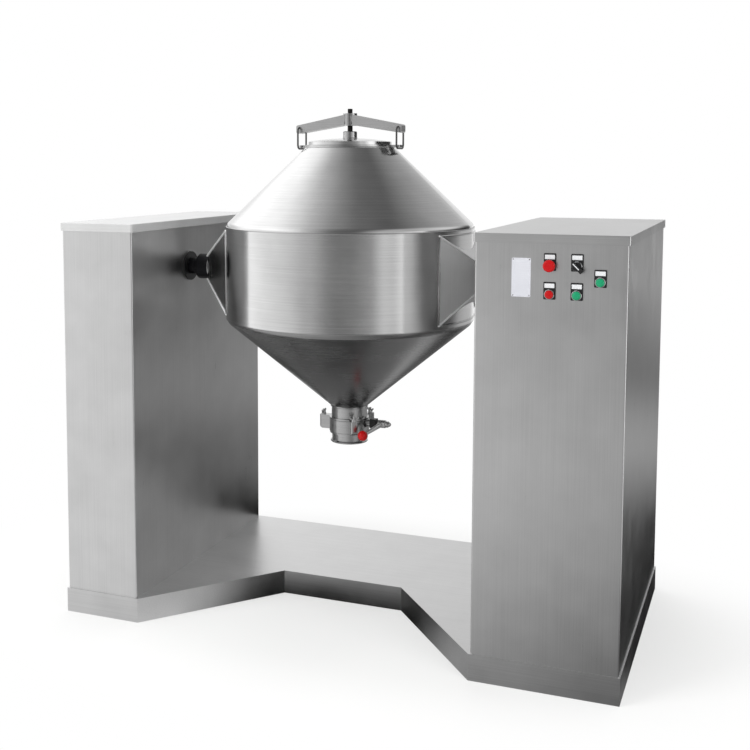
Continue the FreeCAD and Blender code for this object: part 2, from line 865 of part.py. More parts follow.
def make_valve_body():
    """Butterfly valve ring with ears, a stem boss and a notch plate seat."""
    ring = rod(V(vessel_x, vessel_y, valve_low), AZ, valve_body_height, valve_body_radius)
    rims = [e for e in ring.Edges if e.BoundBox.ZLength < 0.01]
    ring = ring.makeChamfer(1.5, rims)
    ears = [make_ear(turn, valve_top - ear_height, valve_top, ear_corner)
            for turn, x, y in ear_places()]
    boss = rod(V(vessel_x, vessel_y, stem_z), AX, stem_boss_reach, stem_boss_radius)
    bore = rod(V(vessel_x, vessel_y, valve_low - 5), AZ, valve_body_height + 10, valve_bore)
    stem = rod(V(vessel_x - stem_tail - 1, vessel_y, stem_z), AX,
               stem_tail + stem_boss_reach + 2, stem_radius + running_play)
    body = join([ring, boss] + ears).cut(bore).cut(stem)
    for turn, x, y in ear_places():
        body = body.cut(stud_hole(x, y, valve_top - stud_below, valve_top + 5))
    return body


def make_valve_seat():
    """Soft liner that the disc closes against."""
    half = seat_height / 2
    ring = tube(V(vessel_x, vessel_y, stem_z - half), AZ, seat_height, valve_bore,
                disc_radius + disc_play)
    stem = rod(V(vessel_x - stem_tail - 1, vessel_y, stem_z), AX,
               stem_tail + stem_boss_reach, stem_radius + running_play)
    return ring.cut(stem)


def make_valve_disc():
    """Lens-shaped disc with its stem, turned about the X axis."""
    r = disc_radius
    edge_r = math.sqrt(r ** 2 - disc_edge_half ** 2)
    edges = [
        Part.LineSegment(V(0, 0, -disc_hub_half), V(edge_r * 0.45, 0, -disc_hub_half)).toShape(),
        Part.LineSegment(V(edge_r * 0.45, 0, -disc_hub_half), V(edge_r, 0, -disc_edge_half)).toShape(),
        Part.Arc(V(edge_r, 0, -disc_edge_half), V(r, 0, 0), V(edge_r, 0, disc_edge_half)).toShape(),
        Part.LineSegment(V(edge_r, 0, disc_edge_half), V(edge_r * 0.45, 0, disc_hub_half)).toShape(),
        Part.LineSegment(V(edge_r * 0.45, 0, disc_hub_half), V(0, 0, disc_hub_half)).toShape(),
        Part.LineSegment(V(0, 0, disc_hub_half), V(0, 0, -disc_hub_half)).toShape(),
    ]
    disc = spun(edges, vessel_x, vessel_y).translated(V(0, 0, stem_z))
    reach = stem_tail + lever_head_start + lever_head_length + stem_tip
    stem = rod(V(vessel_x - stem_tail, vessel_y, stem_z), AX, reach, stem_radius)
    tip = [e for e in stem.Edges if e.BoundBox.XMin > vessel_x + lever_head_start]
    stem = stem.makeChamfer(2, tip)
    return join([disc, stem])


def make_notch_plate():
    """Block on the valve's boss with the stops for the lever."""
    x = vessel_x + stem_boss_reach
    half = notch_plate_size / 2
    block = box(x, x + notch_plate_depth, vessel_y - half, vessel_y + half,
                stem_z - half, stem_z + half)
    block = block.makeFillet(5, [e for e in block.Edges if abs(e.Length - notch_plate_depth) < 0.01])
    return block.cut(rod(V(x - 1, vessel_y, stem_z), AX, notch_plate_depth + 2,
                         stem_radius + running_play))


def make_valve_lever():
    """Head on the stem and a cranked flat arm to the knob."""
    head_x = vessel_x + lever_head_start
    head = rod(V(head_x, vessel_y, stem_z), AX, lever_head_length, lever_head_radius)
    head = head.makeChamfer(2, [e for e in head.Edges if e.BoundBox.XLength < 0.01])
    start = V(head_x + lever_head_length * lever_seat, vessel_y, stem_z)
    end = lever_end()
    run = end.sub(start)
    arm = Part.makeCone(lever_bar, lever_bar * lever_taper, run.Length, start, run)
    bore = rod(V(head_x - 1, vessel_y, stem_z), AX, lever_head_length + 2, stem_radius)
    return join([head, arm]).cut(bore).Solids[0]


def lever_end():
    """Centre of the lever's knob."""
    return V(vessel_x + lever_head_start + lever_head_length * lever_seat - lever_crank,
             vessel_y - lever_length, stem_z - lever_drop)


def make_lever_knob():
    """Ball knob pressed on the lever."""
    ball = Part.makeSphere(knob_radius, lever_end())
    return ball.cut(make_valve_lever())


def make_valve_studs():
    """Studs through the three ears."""
    studs = []
    for turn, x, y in ear_places():
        low = valve_top - stud_below
        studs.append(rod(V(x, y, low), AZ, flange_top + stud_above - low, stud_radius))
    return group(studs)


def make_wing_nuts():
    """Wing nuts on the studs."""
    nuts = []
    for turn, x, y in ear_places():
        base = V(x, y, flange_top)
        hub = Part.makeCone(wing_nut_radius, wing_nut_radius * 0.75, wing_nut_height, base, AZ)
        half = wing_thickness / 2
        z0 = flange_top + wing_lift
        foot = wing_nut_radius - wing_slope
        tip = wing_rise - wing_tip
        wing = prism([
            V(-foot, -half, z0), V(foot, -half, z0),
            V(wing_span, -half, z0 + tip), V(wing_span - wing_slope, -half, z0 + wing_rise),
            V(foot, -half, z0 + wing_rise - 2 * wing_tip), V(-foot, -half, z0 + wing_rise - 2 * wing_tip),
            V(-wing_span + wing_slope, -half, z0 + wing_rise), V(-wing_span, -half, z0 + tip),
        ], V(0, wing_thickness, 0))
        wing.rotate(V(0, 0, 0), AZ, math.degrees(turn) + 90)
        nut = join([hub, wing.translated(V(x, y, 0))])
        nuts.append(nut.cut(rod(V(x, y, flange_top - 1), AZ, stud_above + 2, stud_radius)))
    return group(nuts)


def make_discharge_spout():
    """Ferrule under the valve with a rolled lip."""
    r = spout_radius
    inner = r - spout_wall
    lip = spout_low + spout_lip_height
    return ring_profile([
        (inner, spout_low), (spout_lip_radius - 2, spout_low), (spout_lip_radius, spout_low + 2),
        (spout_lip_radius, lip - 2), (r, lip + 2),
        (r, valve_low - spout_flange_height - 2), (spout_flange_radius, valve_low - spout_flange_height),
        (spout_flange_radius, valve_low), (inner + 1.5, valve_low),
        (inner + 1.5, spout_low + spout_lip_height), (inner, spout_low + 2),
    ], vessel_x, vessel_y)


# Bearings, stands and drive

def make_wall_rings():
    """Plastic rings that close the shaft ports in the pedestal walls."""
    rings = []
    for side, wall in ((-1, left_wall), (1, right_wall)):
        outward = -side
        bore = shaft_radius + wall_ring_play
        flange = tube(V(wall, vessel_y, axis_z), V(outward, 0, 0), wall_ring_thickness,
                      wall_ring_radius, bore)
        spigot = tube(V(wall, vessel_y, axis_z), V(side, 0, 0), housing_sheet + 4,
                      shaft_port_radius, bore)
        rings.append(join([flange, spigot]))
    return group(rings)


def make_bearing_housing(x):
    """Cast pillow block: foot, shoulders and round housing."""
    seat = stand_seat_z
    half = bearing_housing_width / 2
    foot = box(x - half, x + half, vessel_y - bearing_foot_half, vessel_y + bearing_foot_half,
               seat, seat + bearing_foot_height)
    foot = foot.makeFillet(10, upright_edges(foot))
    shoulders = prism([
        V(x - half, vessel_y - shoulder_foot_half, seat + 1),
        V(x - half, vessel_y + shoulder_foot_half, seat + 1),
        V(x - half, vessel_y + shoulder_top_half, axis_z),
        V(x - half, vessel_y - shoulder_top_half, axis_z),
    ], V(2 * half, 0, 0))
    cap = rod(V(x - half, vessel_y, axis_z), AX, 2 * half, bearing_housing_radius)
    block = join([foot, shoulders, cap])
    block = block.cut(rod(V(x - half - 1, vessel_y, axis_z), AX, 2 * half + 2, bearing_bore))
    for side in (-1, 1):
        y = vessel_y + side * bearing_bolt_span
        block = block.cut(rod(V(x, y, seat - 1), AZ, bearing_seat, bearing_bolt_radius + bolt_play))
    return block


def make_bearing_rings(outer, inner):
    """The outer or the inner rings of both bearings."""
    rings = []
    for x in (left_bearing_x, right_bearing_x):
        start = V(x - bearing_width / 2, vessel_y, axis_z)
        rings.append(tube(start, AX, bearing_width, outer, inner))
    return group(rings)


def hex_bolt(x, y, head_z, radius, length):
    """Hexagon bolt with its nut, as two solids."""
    head = hexagon(V(x, y, head_z), AZ, radius * 3, radius * 1.3)
    bolt = join([head, rod(V(x, y, head_z - length), AZ, length + 1, radius)])
    nut_z = head_z - length + bolt_tail
    nut = hexagon(V(x, y, nut_z), AZ, radius * 3, radius * 1.6)
    return [bolt, nut.cut(rod(V(x, y, nut_z - 1), AZ, radius * 1.6 + 2, radius))]


def make_bearing_bolts():
    """Bolts that hold both pillow blocks to their stands."""
    parts = []
    grip = bearing_foot_height + stand_top
    length = grip + bolt_tail + bearing_bolt_radius * 1.6
    for x in (left_bearing_x, right_bearing_x):
        for side in (-1, 1):
            y = vessel_y + side * bearing_bolt_span
            parts.extend(hex_bolt(x, y, stand_seat_z + bearing_foot_height,
                                  bearing_bolt_radius, length))
    return group(parts)


def make_stand(x, shelf):
    """Welded post frame under a bearing, with the gearbox shelf where there is one."""
    half = stand_post / 2
    low = base_height
    top = stand_seat_z
    w = stand_post_wall
    outers = []
    inners = []
    for side in (-1, 1):
        y = vessel_y + side * stand_post_span
        outers.append(box(x - half, x + half, y - half, y + half, low, top - stand_top))
        inners.append(box(x - half + w, x + half - w, y - half + w, y + half - w,
                          low + stand_foot, top - stand_top - w))
        m = stand_foot_margin
        outers.append(box(x - half - m, x + half + m, y - half - m, y + half + m,
                          low, low + stand_foot))
    reach = stand_post_span + half
    outers.append(box(x - half, x + half, vessel_y - reach, vessel_y + reach, top - stand_top, top))
    for z in (low + stand_low_tie, low + stand_high_tie):
        outers.append(box(x - half / 2, x + half / 2, vessel_y - reach + w, vessel_y + reach - w,
                          z, z + stand_post))
    frame = join(outers)
    if shelf:
        t = shelf_thickness
        under = shelf_top - t
        far = gearbox_x + gearbox_width / 2
        plate = box(x - half, far, vessel_y - reach, vessel_y + reach, under, shelf_top)
        rib = prism([
            V(x, vessel_y - t / 2, under), V(far - t, vessel_y - t / 2, under),
            V(x, vessel_y - t / 2, under - shelf_rib_drop),
        ], V(0, t, 0))
        column = box(x - half / 2, x + half / 2, vessel_y - t / 2, vessel_y + t / 2,
                     under - shelf_column_drop, under)
        tie = box(x - half / 2, x + half / 2, vessel_y - reach + w, vessel_y + reach - w,
                  under - shelf_tie_drop, under - shelf_tie_drop + shelf_tie_height)
        frame = join([frame, plate, rib, column, tie])
    frame = frame.cut(inners[0].fuse(inners[1:]))
    cuts = []
    for side in (-1, 1):
        y = vessel_y + side * bearing_bolt_span
        cuts.append(rod(V(x, y, top - stand_top - 5), AZ, stand_top + 10,
                        bearing_bolt_radius + bolt_play))
    if shelf:
        for bx, by in gearbox_bolt_places():
            cuts.append(rod(V(bx, by, shelf_top - shelf_thickness - 1), AZ, shelf_thickness + 2,
                            gearbox_bolt_radius + bolt_play))
    return frame.cut(cuts[0].fuse(cuts[1:]))


def gearbox_bolt_places():
    """Centres of the gearbox's foot bolts."""
    places = []
    for sx in (-1, 1):
        for sy in (-1, 1):
            places.append((gearbox_x + sx * (gearbox_width / 2 - gearbox_bolt_inset),
                           vessel_y + sy * (gearbox_depth / 2 + gearbox_bolt_reach)))
    return places


def make_gearbox():
    """Worm gearbox with a hollow shaft, feet and a motor flange."""
    half = gearbox_width / 2
    deep = gearbox_depth / 2
    low = shelf_top
    case = box(gearbox_x - half, gearbox_x + half, vessel_y - deep, vessel_y + deep,
               low, axis_z + gearbox_above)
    along = [e for e in case.Edges if abs(e.Length - gearbox_width) < 0.01]
    upper = [e for e in along if e.Vertexes[0].Z > axis_z]
    case = case.makeFillet(gearbox_crown, upper)
    reach = deep + gearbox_foot_reach
    foot = box(gearbox_x - half, gearbox_x + half, vessel_y - reach, vessel_y + reach,
               low, low + gearbox_foot_height)
    foot = foot.makeFillet(10, upright_edges(foot))
    bosses = rod(V(gearbox_x - half - gearbox_boss_height, vessel_y, axis_z), AX,
                 gearbox_width + 2 * gearbox_boss_height, gearbox_boss_radius)
    flange = rod(V(gearbox_x, vessel_y + deep, worm_z), AY, motor_flange_height,
                 motor_flange_radius)
    worm_cap = rod(V(gearbox_x, vessel_y - deep - worm_cap_height, worm_z), AY,
                   worm_cap_height + 1, worm_cap_radius)
    body = join([case, foot, bosses, flange, worm_cap])
    reach = half + 2 * gearbox_boss_height
    body = body.cut(rod(V(gearbox_x - reach, vessel_y, axis_z), AX, 2 * reach,
                        journal_radius + running_play))
    for bx, by in gearbox_bolt_places():
        body = body.cut(rod(V(bx, by, low - 1), AZ, gearbox_foot_height + 2,
                            gearbox_bolt_radius + bolt_play))
    return body


def make_gearbox_bolts():
    """Foot bolts of the gearbox."""
    parts = []
    radius = gearbox_bolt_radius
    length = gearbox_foot_height + shelf_thickness + bolt_tail + radius * 1.6
    for bx, by in gearbox_bolt_places():
        parts.extend(hex_bolt(bx, by, shelf_top + gearbox_foot_height, radius, length))
    return group(parts)


def motor_start():
    """Where the motor meets the gearbox flange."""
    return V(gearbox_x, vessel_y + gearbox_depth / 2 + motor_flange_height, worm_z)


def make_motor():
    """Finned motor frame with its round flange."""
    start = motor_start()
    flange = rod(start, AY, motor_flange_height, motor_flange_radius)
    core = rod(start, AY, motor_length, motor_radius)
    shield = rod(start + V(0, motor_length - motor_shield, 0), AY, motor_shield,
                 cowl_radius - cowl_sheet)
    fins = []
    fin_low = start.y + 2 * motor_flange_height
    fin_high = start.y + motor_length - motor_shield
    for i in range(fin_count):
        turn = 360.0 * i / fin_count + 360.0 / fin_count / 2
        fin = box(motor_radius - 2, motor_radius + fin_height, fin_low, fin_high,
                  -fin_thickness / 2, fin_thickness / 2)
        fin.rotate(V(0, 0, 0), AY, turn)
        fins.append(fin.translated(V(start.x, 0, start.z)))
    return join([core, flange, shield] + fins)


def make_fan_cowl():
    """Sheet cowl with an air grille on the motor's end."""
    start = motor_start()
    y = start.y + motor_length - motor_shield
    outer = rod(V(start.x, y, start.z), AY, cowl_length, cowl_radius)
    outer = outer.makeFillet(cowl_corner, [e for e in outer.Edges if e.BoundBox.YMin > y + 1])
    inner = rod(V(start.x, y - 1, start.z), AY, cowl_length + 1 - cowl_sheet, cowl_radius - cowl_sheet)
    inner = inner.makeFillet(cowl_corner - cowl_sheet, [e for e in inner.Edges if e.BoundBox.YMin > y + 1])
    shell = outer.cut(inner)
    holes = []
    for row in range(1, cowl_hole_rows + 1):
        ring = row * cowl_hole_pitch
        for i in range(6 * row):
            turn = 2 * math.pi * i / (6 * row)
            mouth = V(start.x + ring * math.cos(turn), y + cowl_length - 2 * cowl_sheet,
                      start.z + ring * math.sin(turn))
            holes.append(rod(mouth, AY, 3 * cowl_sheet, cowl_hole_radius))
    return shell.cut(holes[0].fuse(holes[1:]))


def make_terminal_box():
    """Junction box on top of the motor."""
    start = motor_start()
    half = terminal_box_side / 2
    y = start.y + motor_length * 0.45
    low = start.z + motor_radius + fin_height + face_gap
    case = box(start.x - half, start.x + half, y - half, y + half, low, low + terminal_box_height)
    case = case.makeFillet(5, upright_edges(case))
    reach = half + terminal_lid_proud
    top = low + terminal_box_height - terminal_lid_drop
    lid = box(start.x - reach, start.x + reach, y - reach, y + reach, top - terminal_lid_height, top)
    return join([case, lid])


def make_mounting_plate():
    """Back plate for the control gear, on stand-offs from the outer wall."""
    x, y, z = gear_plate_x, gear_plate_y, gear_plate_z
    plate = box(x - gear_plate_sheet, x, y, y + gear_plate_width, z, z + gear_plate_height)
    inset = stand_off_inset
    legs = []
    for leg_y in (y + inset, y + gear_plate_width - inset):
        for leg_z in (z + inset, z + gear_plate_height - inset):
            legs.append(rod(V(x - 1, leg_y, leg_z), AX, stand_off_length + 1, stand_off_radius))
    return join([plate] + legs)


def gear_block(place):
    """Device on the back plate, from its place and size in shares of the plate."""
    along, up, width, height, depth = place
    y = gear_plate_y + along * gear_plate_width
    z = gear_plate_z + up * gear_plate_height
    face = gear_plate_x - gear_plate_sheet
    return box(face - depth * gear_plate_width, face, y, y + width * gear_plate_width,
               z, z + height * gear_plate_height)


def make_control_gear():
    """Inverter, relay, terminal strip and contactors on the back plate."""
    devices = [gear_block(place) for place in (inverter_place, relay_place, strip_place)]
    n = contactor_nose
    for place in contactor_places:
        along, up, width, height, depth = place
        nose = gear_block((along + n / 2, up + n, width - n, height - 2 * n, depth + n))
        devices.append(join([gear_block(place), nose]))
    return group(devices)


# Controls

def control_places():
    """Head centres of the five controls: stop, selector, off, on and jog."""
    columns = [right_wall + c for c in (control_left, control_middle, control_right)]
    top = machine_height - control_top_drop
    bottom = machine_height - control_bottom_drop
    return [
        (columns[0], top),
        (columns[1], top),
        (columns[0], bottom),
        (columns[1], bottom),
        (columns[2], machine_height - control_jog_drop),
    ]


def make_switch_holders():
    """Flat black holders behind the heads, with room for a label above each."""
    holders = []
    face = ped_front - holder_thickness
    for x, z in control_places():
        plate = box(x - holder_width / 2, x + holder_width / 2, face, ped_front,
                    z + holder_drop - holder_height / 2, z + holder_drop + holder_height / 2)
        corners = [e for e in plate.Edges if abs(e.Length - holder_thickness) < 0.01]
        plate = plate.makeFillet(2.5, corners)
        holders.append(plate.cut(rod(V(x, face - 1, z), AY, holder_thickness + 2, barrel_hole)))
    return group(holders)


def make_label_inserts():
    """Blank white labels, one on each holder."""
    labels = []
    face = ped_front - holder_thickness
    for x, z in control_places():
        labels.append(box(x - label_width / 2, x + label_width / 2, face - label_thickness, face,
                          z + label_rise - label_height / 2, z + label_rise + label_height / 2))
    return group(labels)


def make_switch_bezels():
    """Bright rings round the heads."""
    rings = []
    face = ped_front - holder_thickness
    for x, z in control_places():
        ring = tube(V(x, face, z), V(0, -1, 0), bezel_height, bezel_radius, head_bore)
        front = [e for e in ring.Edges if e.BoundBox.YMax < face - bezel_height + 0.01
                 and e.BoundBox.XLength > 2 * head_bore + 1]
        rings.append(ring.makeChamfer(1.5, front))
    return group(rings)


def make_switch_bodies():
    """Switch barrels through the wall and the contact blocks behind it."""
    bodies = []
    face = ped_front - holder_thickness
    for x, z in control_places():
        barrel = rod(V(x, face, z), AY, switch_length, switch_barrel)
        pocket = rod(V(x, face - 1, z), AY, pocket_depth + 1, head_bore)
        guide = rod(V(x, face, z), AY, switch_length + 1, guide_radius + running_play)
        half = block_side / 2
        back = face + switch_length
        block = box(x - half, x + half, back - 6, back + block_depth, z - half, z + half)
        bodies.append(join([barrel, block]).cut(pocket).cut(guide))
    return group(bodies)


def make_push_button(x, z):
    """Flush push button with its guide stem."""
    face = ped_front - holder_thickness
    head = rod(V(x, face - head_front, z), AY, head_front + head_back, head_radius)
    front = [e for e in head.Edges if e.BoundBox.YMax < face - head_front + 0.01]
    head = head.makeFillet(1.2, front)
    stem = rod(V(x, face + head_back, z), AY, guide_length, guide_radius)
    return join([head, stem])


def make_stop_button(x, z):
    """Mushroom push button."""
    face = ped_front - holder_thickness
    under = face - bezel_height - mushroom_gap
    r = mushroom_radius
    neck = rod(V(x, under - 1, z), AY, mushroom_gap + bezel_height + head_back + 1, head_radius)
    cap = rod(V(x, under - mushroom_height, z), AY, mushroom_height, r)
    front = [e for e in cap.Edges if e.BoundBox.YMax < under - mushroom_height + 0.01]
    cap = cap.makeFillet(mushroom_height * 0.62, front)
    stem = rod(V(x, face + head_back, z), AY, guide_length, guide_radius)
    return join([neck, cap, stem])


def make_selector_knob(x, z):
    """Rotary selector with a raised grip bar."""
    face = ped_front - holder_thickness
    front = face - bezel_height - selector_gap
    disc = rod(V(x, front, z), V(0, -1, 0), selector_disc, selector_radius)
    tail = selector_bar_length * selector_tail
    bar = box(-tail, selector_bar_length - tail,
              front - selector_disc - selector_bar_height, front - 1,
              -selector_bar_width / 2, selector_bar_width / 2)
    ends = [e for e in bar.Edges if e.BoundBox.XLength < 0.01 and e.BoundBox.ZLength < 0.01]
    bar = bar.makeFillet(selector_bar_corner, ends)
    bar.rotate(V(0, 0, 0), AY, selector_tilt)
    neck = rod(V(x, front - 1, z), AY, bezel_height + selector_gap + head_back + 1, head_radius)
    stem = rod(V(x, face + head_back, z), AY, guide_length, guide_radius)
    return join([disc, bar.translated(V(x, 0, z)), neck, stem])


def make_selector_pointer(x, z):
    """White line on the grip bar."""
    face = ped_front - holder_thickness
    front = face - bezel_height - selector_gap - selector_disc - selector_bar_height
    start = pointer_inset - selector_bar_length * selector_tail
    line = box(start, selector_bar_length * pointer_reach, front - pointer_proud, front,
               -pointer_width / 2, pointer_width / 2)
    line.rotate(V(0, 0, 0), AY, selector_tilt)
    return line.translated(V(x, 0, z))


def make_nameplate():
    """Bare bright plate."""
    x = right_wall + nameplate_left
    z = machine_height - nameplate_drop
    plate = box(x - nameplate_width / 2, x + nameplate_width / 2,
                ped_front - nameplate_thickness, ped_front,
                z - nameplate_height / 2, z + nameplate_height / 2)
    corners = [e for e in plate.Edges if abs(e.Length - nameplate_thickness) < 0.01]
    return plate.makeFillet(3, corners)


os.makedirs("parts", exist_ok=True)
places = control_places()
cone_big = barrel_radius - cone_step

save("base_plinth", make_base_plinth())
save("base_bottom_plate", make_base_bottom_plate())
save("base_frame", make_base_frame())
save("left_pedestal_housing", make_housing(left_outer, left_wall, left_wall, []))
save("right_pedestal_housing", make_housing(right_wall, right_outer, right_wall, places))
save("left_top_cover", make_top_cover(left_outer, left_wall))
save("right_top_cover", make_top_cover(right_wall, right_outer))
save("left_rear_panel", make_rear_panel(left_outer, left_wall, False))
save("right_rear_panel", make_rear_panel(right_wall, right_outer, True))
save("panel_screws", make_panel_screws())
save("barrel_band", make_barrel_band())
save("upper_cone", cone_shell(cone_big, mouth_cone_radius, upper_cone_height, barrel_top, True))
save("lower_cone", cone_shell(cone_big, neck_radius, lower_cone_height, barrel_low, False))
save("mouth_ring", make_mouth_ring())
save("left_trunnion_bracket", make_trunnion_bracket(-1, left_bracket_reach))
save("right_trunnion_bracket", make_trunnion_bracket(1, right_bracket_reach))
save("left_trunnion_shaft", make_trunnion_shaft(-1, left_bracket_reach, left_reach,
                                                left_bearing_inset, 0, False))
save("right_trunnion_shaft", make_trunnion_shaft(1, right_bracket_reach, right_reach,
                                                 right_bearing_inset,
                                                 gearbox_x + gearbox_width / 2 + journal_tail - vessel_x, True))
save("lid", make_lid())
save("lid_gasket", make_lid_gasket())
save("clamp_foot", make_clamp_foot())
save("clamp_screw", make_clamp_screw())
save("clamp_hub", make_clamp_hub())
save("clamp_beam", make_clamp_beam())
save("left_bail", make_bail(-1))
save("right_bail", make_bail(1))
save("outlet_neck", make_outlet_neck())
save("valve_body", make_valve_body())
save("valve_seat", make_valve_seat())
save("valve_disc", make_valve_disc())
save("valve_notch_plate", make_notch_plate())
save("valve_lever", make_valve_lever())
save("lever_knob", make_lever_knob())
save("valve_studs", make_valve_studs())
save("wing_nuts", make_wing_nuts())
save("discharge_spout", make_discharge_spout())
save("shaft_wall_rings", make_wall_rings())
save("left_bearing_housing", make_bearing_housing(left_bearing_x))
save("right_bearing_housing", make_bearing_housing(right_bearing_x))
save("bearing_outer_rings", make_bearing_rings(bearing_bore, bearing_split + running_play))
save("bearing_inner_rings", make_bearing_rings(bearing_split, shaft_radius))
save("bearing_stands", group([make_stand(left_bearing_x, False), make_stand(right_bearing_x, True)]))
save("gearbox", make_gearbox())
save("mounting_bolts", group([make_bearing_bolts(), make_gearbox_bolts()]))
save("drive_motor", make_motor())
save("motor_fan_cowl", make_fan_cowl())
save("motor_terminal_box", make_terminal_box())
save("control_mounting_plate", make_mounting_plate())
save("control_gear", make_control_gear())
save("switch_holders", make_switch_holders())
save("label_inserts", make_label_inserts())
save("switch_bezels", make_switch_bezels())
save("switch_bodies", make_switch_bodies())
save("stop_button", make_stop_button(*places[0]))
save("selector_knob", make_selector_knob(*places[1]))
save("selector_pointer", make_selector_pointer(*places[1]))
save("red_button", make_push_button(*places[2]))
save("green_button", make_push_button(*places[3]))
save("jog_button", make_push_button(*places[4]))
save("nameplate", make_nameplate())
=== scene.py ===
import math

import bmesh
import bpy
from mathutils import Matrix, Vector


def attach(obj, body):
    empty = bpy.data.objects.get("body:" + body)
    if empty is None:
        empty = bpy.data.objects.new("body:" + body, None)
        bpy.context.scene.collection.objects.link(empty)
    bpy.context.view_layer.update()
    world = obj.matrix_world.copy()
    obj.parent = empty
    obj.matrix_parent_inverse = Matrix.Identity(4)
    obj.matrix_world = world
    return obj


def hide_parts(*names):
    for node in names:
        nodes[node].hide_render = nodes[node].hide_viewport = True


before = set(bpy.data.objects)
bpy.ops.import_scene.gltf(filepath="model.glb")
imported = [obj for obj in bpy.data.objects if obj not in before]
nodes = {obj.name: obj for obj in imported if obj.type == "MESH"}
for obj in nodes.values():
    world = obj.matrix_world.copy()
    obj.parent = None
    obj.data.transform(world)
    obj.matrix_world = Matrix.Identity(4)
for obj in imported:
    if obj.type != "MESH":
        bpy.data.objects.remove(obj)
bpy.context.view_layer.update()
MM = 0.001
UP, ALONG, OUT = Vector((0, 0, 1)), Vector((1, 0, 0)), Vector((0, -1, 0))

# Places on the machine, in millimetres, as in the solids
vessel_x, vessel_y = -42.0, -85.0
vessel_foot = Vector((vessel_x, vessel_y, 0))
axis_z = 1137.0
barrel_radius = 406.0
barrel_top, barrel_low = axis_z + 149.0, axis_z - 149.0
cone_top, cone_low = barrel_top + 257.0, barrel_low - 296.0
mouth_radius, neck_radius = 146.0, 59.5
bracket_half, bracket_rise, bracket_end = 190.0, 136.0, 40.0
left_throw, right_throw = 99.0, 42.0
hub_radius = 43.0
lid_top = 1573.3
stem_z = 637.0
panel_face, plate_face = -474.0, -472.0
plate_x, plate_z = 607.0, 1179.0
CONTROLS = {"stop_button": (686.0, 1214.0), "selector": (760.0, 1214.0), "red_button": (686.0, 1135.0),
            "green_button": (760.0, 1135.0), "jog_button": (822.5, 1173.0)}


def linear(code):
    """sRGB hex value as linear red, green, blue and full opacity."""
    parts = [int(code[i:i + 2], 16) / 255 for i in (1, 3, 5)]
    return tuple(c / 12.92 if c <= 0.04045 else ((c + 0.055) / 1.055) ** 2.4 for c in parts) + (1.0,)


def add(tree, kind, inputs=None, **settings):
    """Adds a node, sets its properties, and sets or links its inputs."""
    made = tree.nodes.new(kind)
    for name, value in settings.items():
        setattr(made, name, value)
    for key, value in (inputs or {}).items():
        if isinstance(value, bpy.types.NodeSocket):
            tree.links.new(value, made.inputs[key])
        else:
            made.inputs[key].default_value = value
    return made


def blank_material(name):
    """A new material with an empty node tree."""
    material = bpy.data.materials.new(name)
    material.use_nodes = True
    material.node_tree.nodes.clear()
    return material, material.node_tree


def finish(name, shades, metallic, rough, grain, relief, wave=0.0, cells=False, shine=0.5):
    """One finish. Two close shades, the roughness range and the relief in mm all follow one grain,
    whose size is given in mm along X, Y and Z. Wave is the height in mm of the sheet's slow unevenness."""
    material, tree = blank_material(name)
    place = add(tree, "ShaderNodeTexCoord").outputs["Object"]
    spread = add(tree, "ShaderNodeMapping",
                 {"Vector": place, "Scale": [1 / (MM * size) for size in grain]}).outputs["Vector"]
    if cells:
        pattern = add(tree, "ShaderNodeTexVoronoi", {"Vector": spread, "Scale": 1.0}).outputs["Distance"]
    else:
        pattern = add(tree, "ShaderNodeTexNoise",
                      {"Vector": spread, "Scale": 1.0, "Detail": 3.0, "Roughness": 0.6}).outputs["Fac"]
    # Handling and cleaning leave slow patches about a hand wide
    patches = add(tree, "ShaderNodeTexNoise", {"Vector": place, "Scale": 9.0, "Detail": 2.0}).outputs["Fac"]
    both = add(tree, "ShaderNodeMath", {0: pattern, 1: patches}, operation="ADD").outputs["Value"]
    level = add(tree, "ShaderNodeMapRange",
                {"Value": both, "From Min": 0.6, "From Max": 1.4}).outputs["Result"]
    shade = add(tree, "ShaderNodeMix", {"Factor": level, "A": linear(shades[0]), "B": linear(shades[1])},
                data_type="RGBA")
    rub = add(tree, "ShaderNodeMapRange",
              {"Value": level, "To Min": rough[0], "To Max": rough[1]}).outputs["Result"]
    bump = add(tree, "ShaderNodeBump", {"Height": pattern, "Strength": 1.0, "Distance": relief * MM})
    normal = bump.outputs["Normal"]
    if wave:
        swell = add(tree, "ShaderNodeTexNoise", {"Vector": place, "Scale": 5.0, "Detail": 1.0}).outputs["Fac"]
        normal = add(tree, "ShaderNodeBump", {"Height": swell, "Strength": 1.0, "Distance": wave * MM,
                                              "Normal": normal}).outputs["Normal"]
    shader = add(tree, "ShaderNodeBsdfPrincipled",
                 {"Base Color": shade.outputs[2], "Metallic": metallic, "Roughness": rub,
                  "Normal": normal, "Specular IOR Level": shine})
    add(tree, "ShaderNodeOutputMaterial", {"Surface": shader.outputs["BSDF"]})
    return material


# Stainless sheet, ground satin: fine upright grain that blurs reflections. The real grain is about
# 0.1 mm, drawn 3 mm wide and half a metre long so that it shows.
satin_upright = finish("stainless_satin_upright", ("#D0D0D0", "#E0E0E0"), 1.0, (0.27, 0.37),
                       (3, 3, 500), 0.02, 0.25)
# The same sheet laid along the machine, on the base and the right cover
satin_level = finish("stainless_satin_level", ("#CBCBCB", "#DEDEDE"), 1.0, (0.28, 0.40),
                     (500, 3, 3), 0.02, 0.2)
# The left cover's folded sheet, ground along its length like the right cover, with painted light: a paler, milky,
# less mirroring copy of the same sheet so that it reads lit
satin_cover = finish("stainless_cover_painted_light", ("#C2C2C2", "#D2D2D2"), 0.45, (0.34, 0.46),
                     (500, 3, 3), 0.02, 0.2)
# Stainless vessel, polished on the lathe: rings round the axis, near mirror with a slow wave
lathe_polish = finish("stainless_lathe_polished", ("#C4C4C4", "#D6D6D6"), 1.0, (0.12, 0.20),
                      (300, 300, 2.5), 0.006, 0.5)
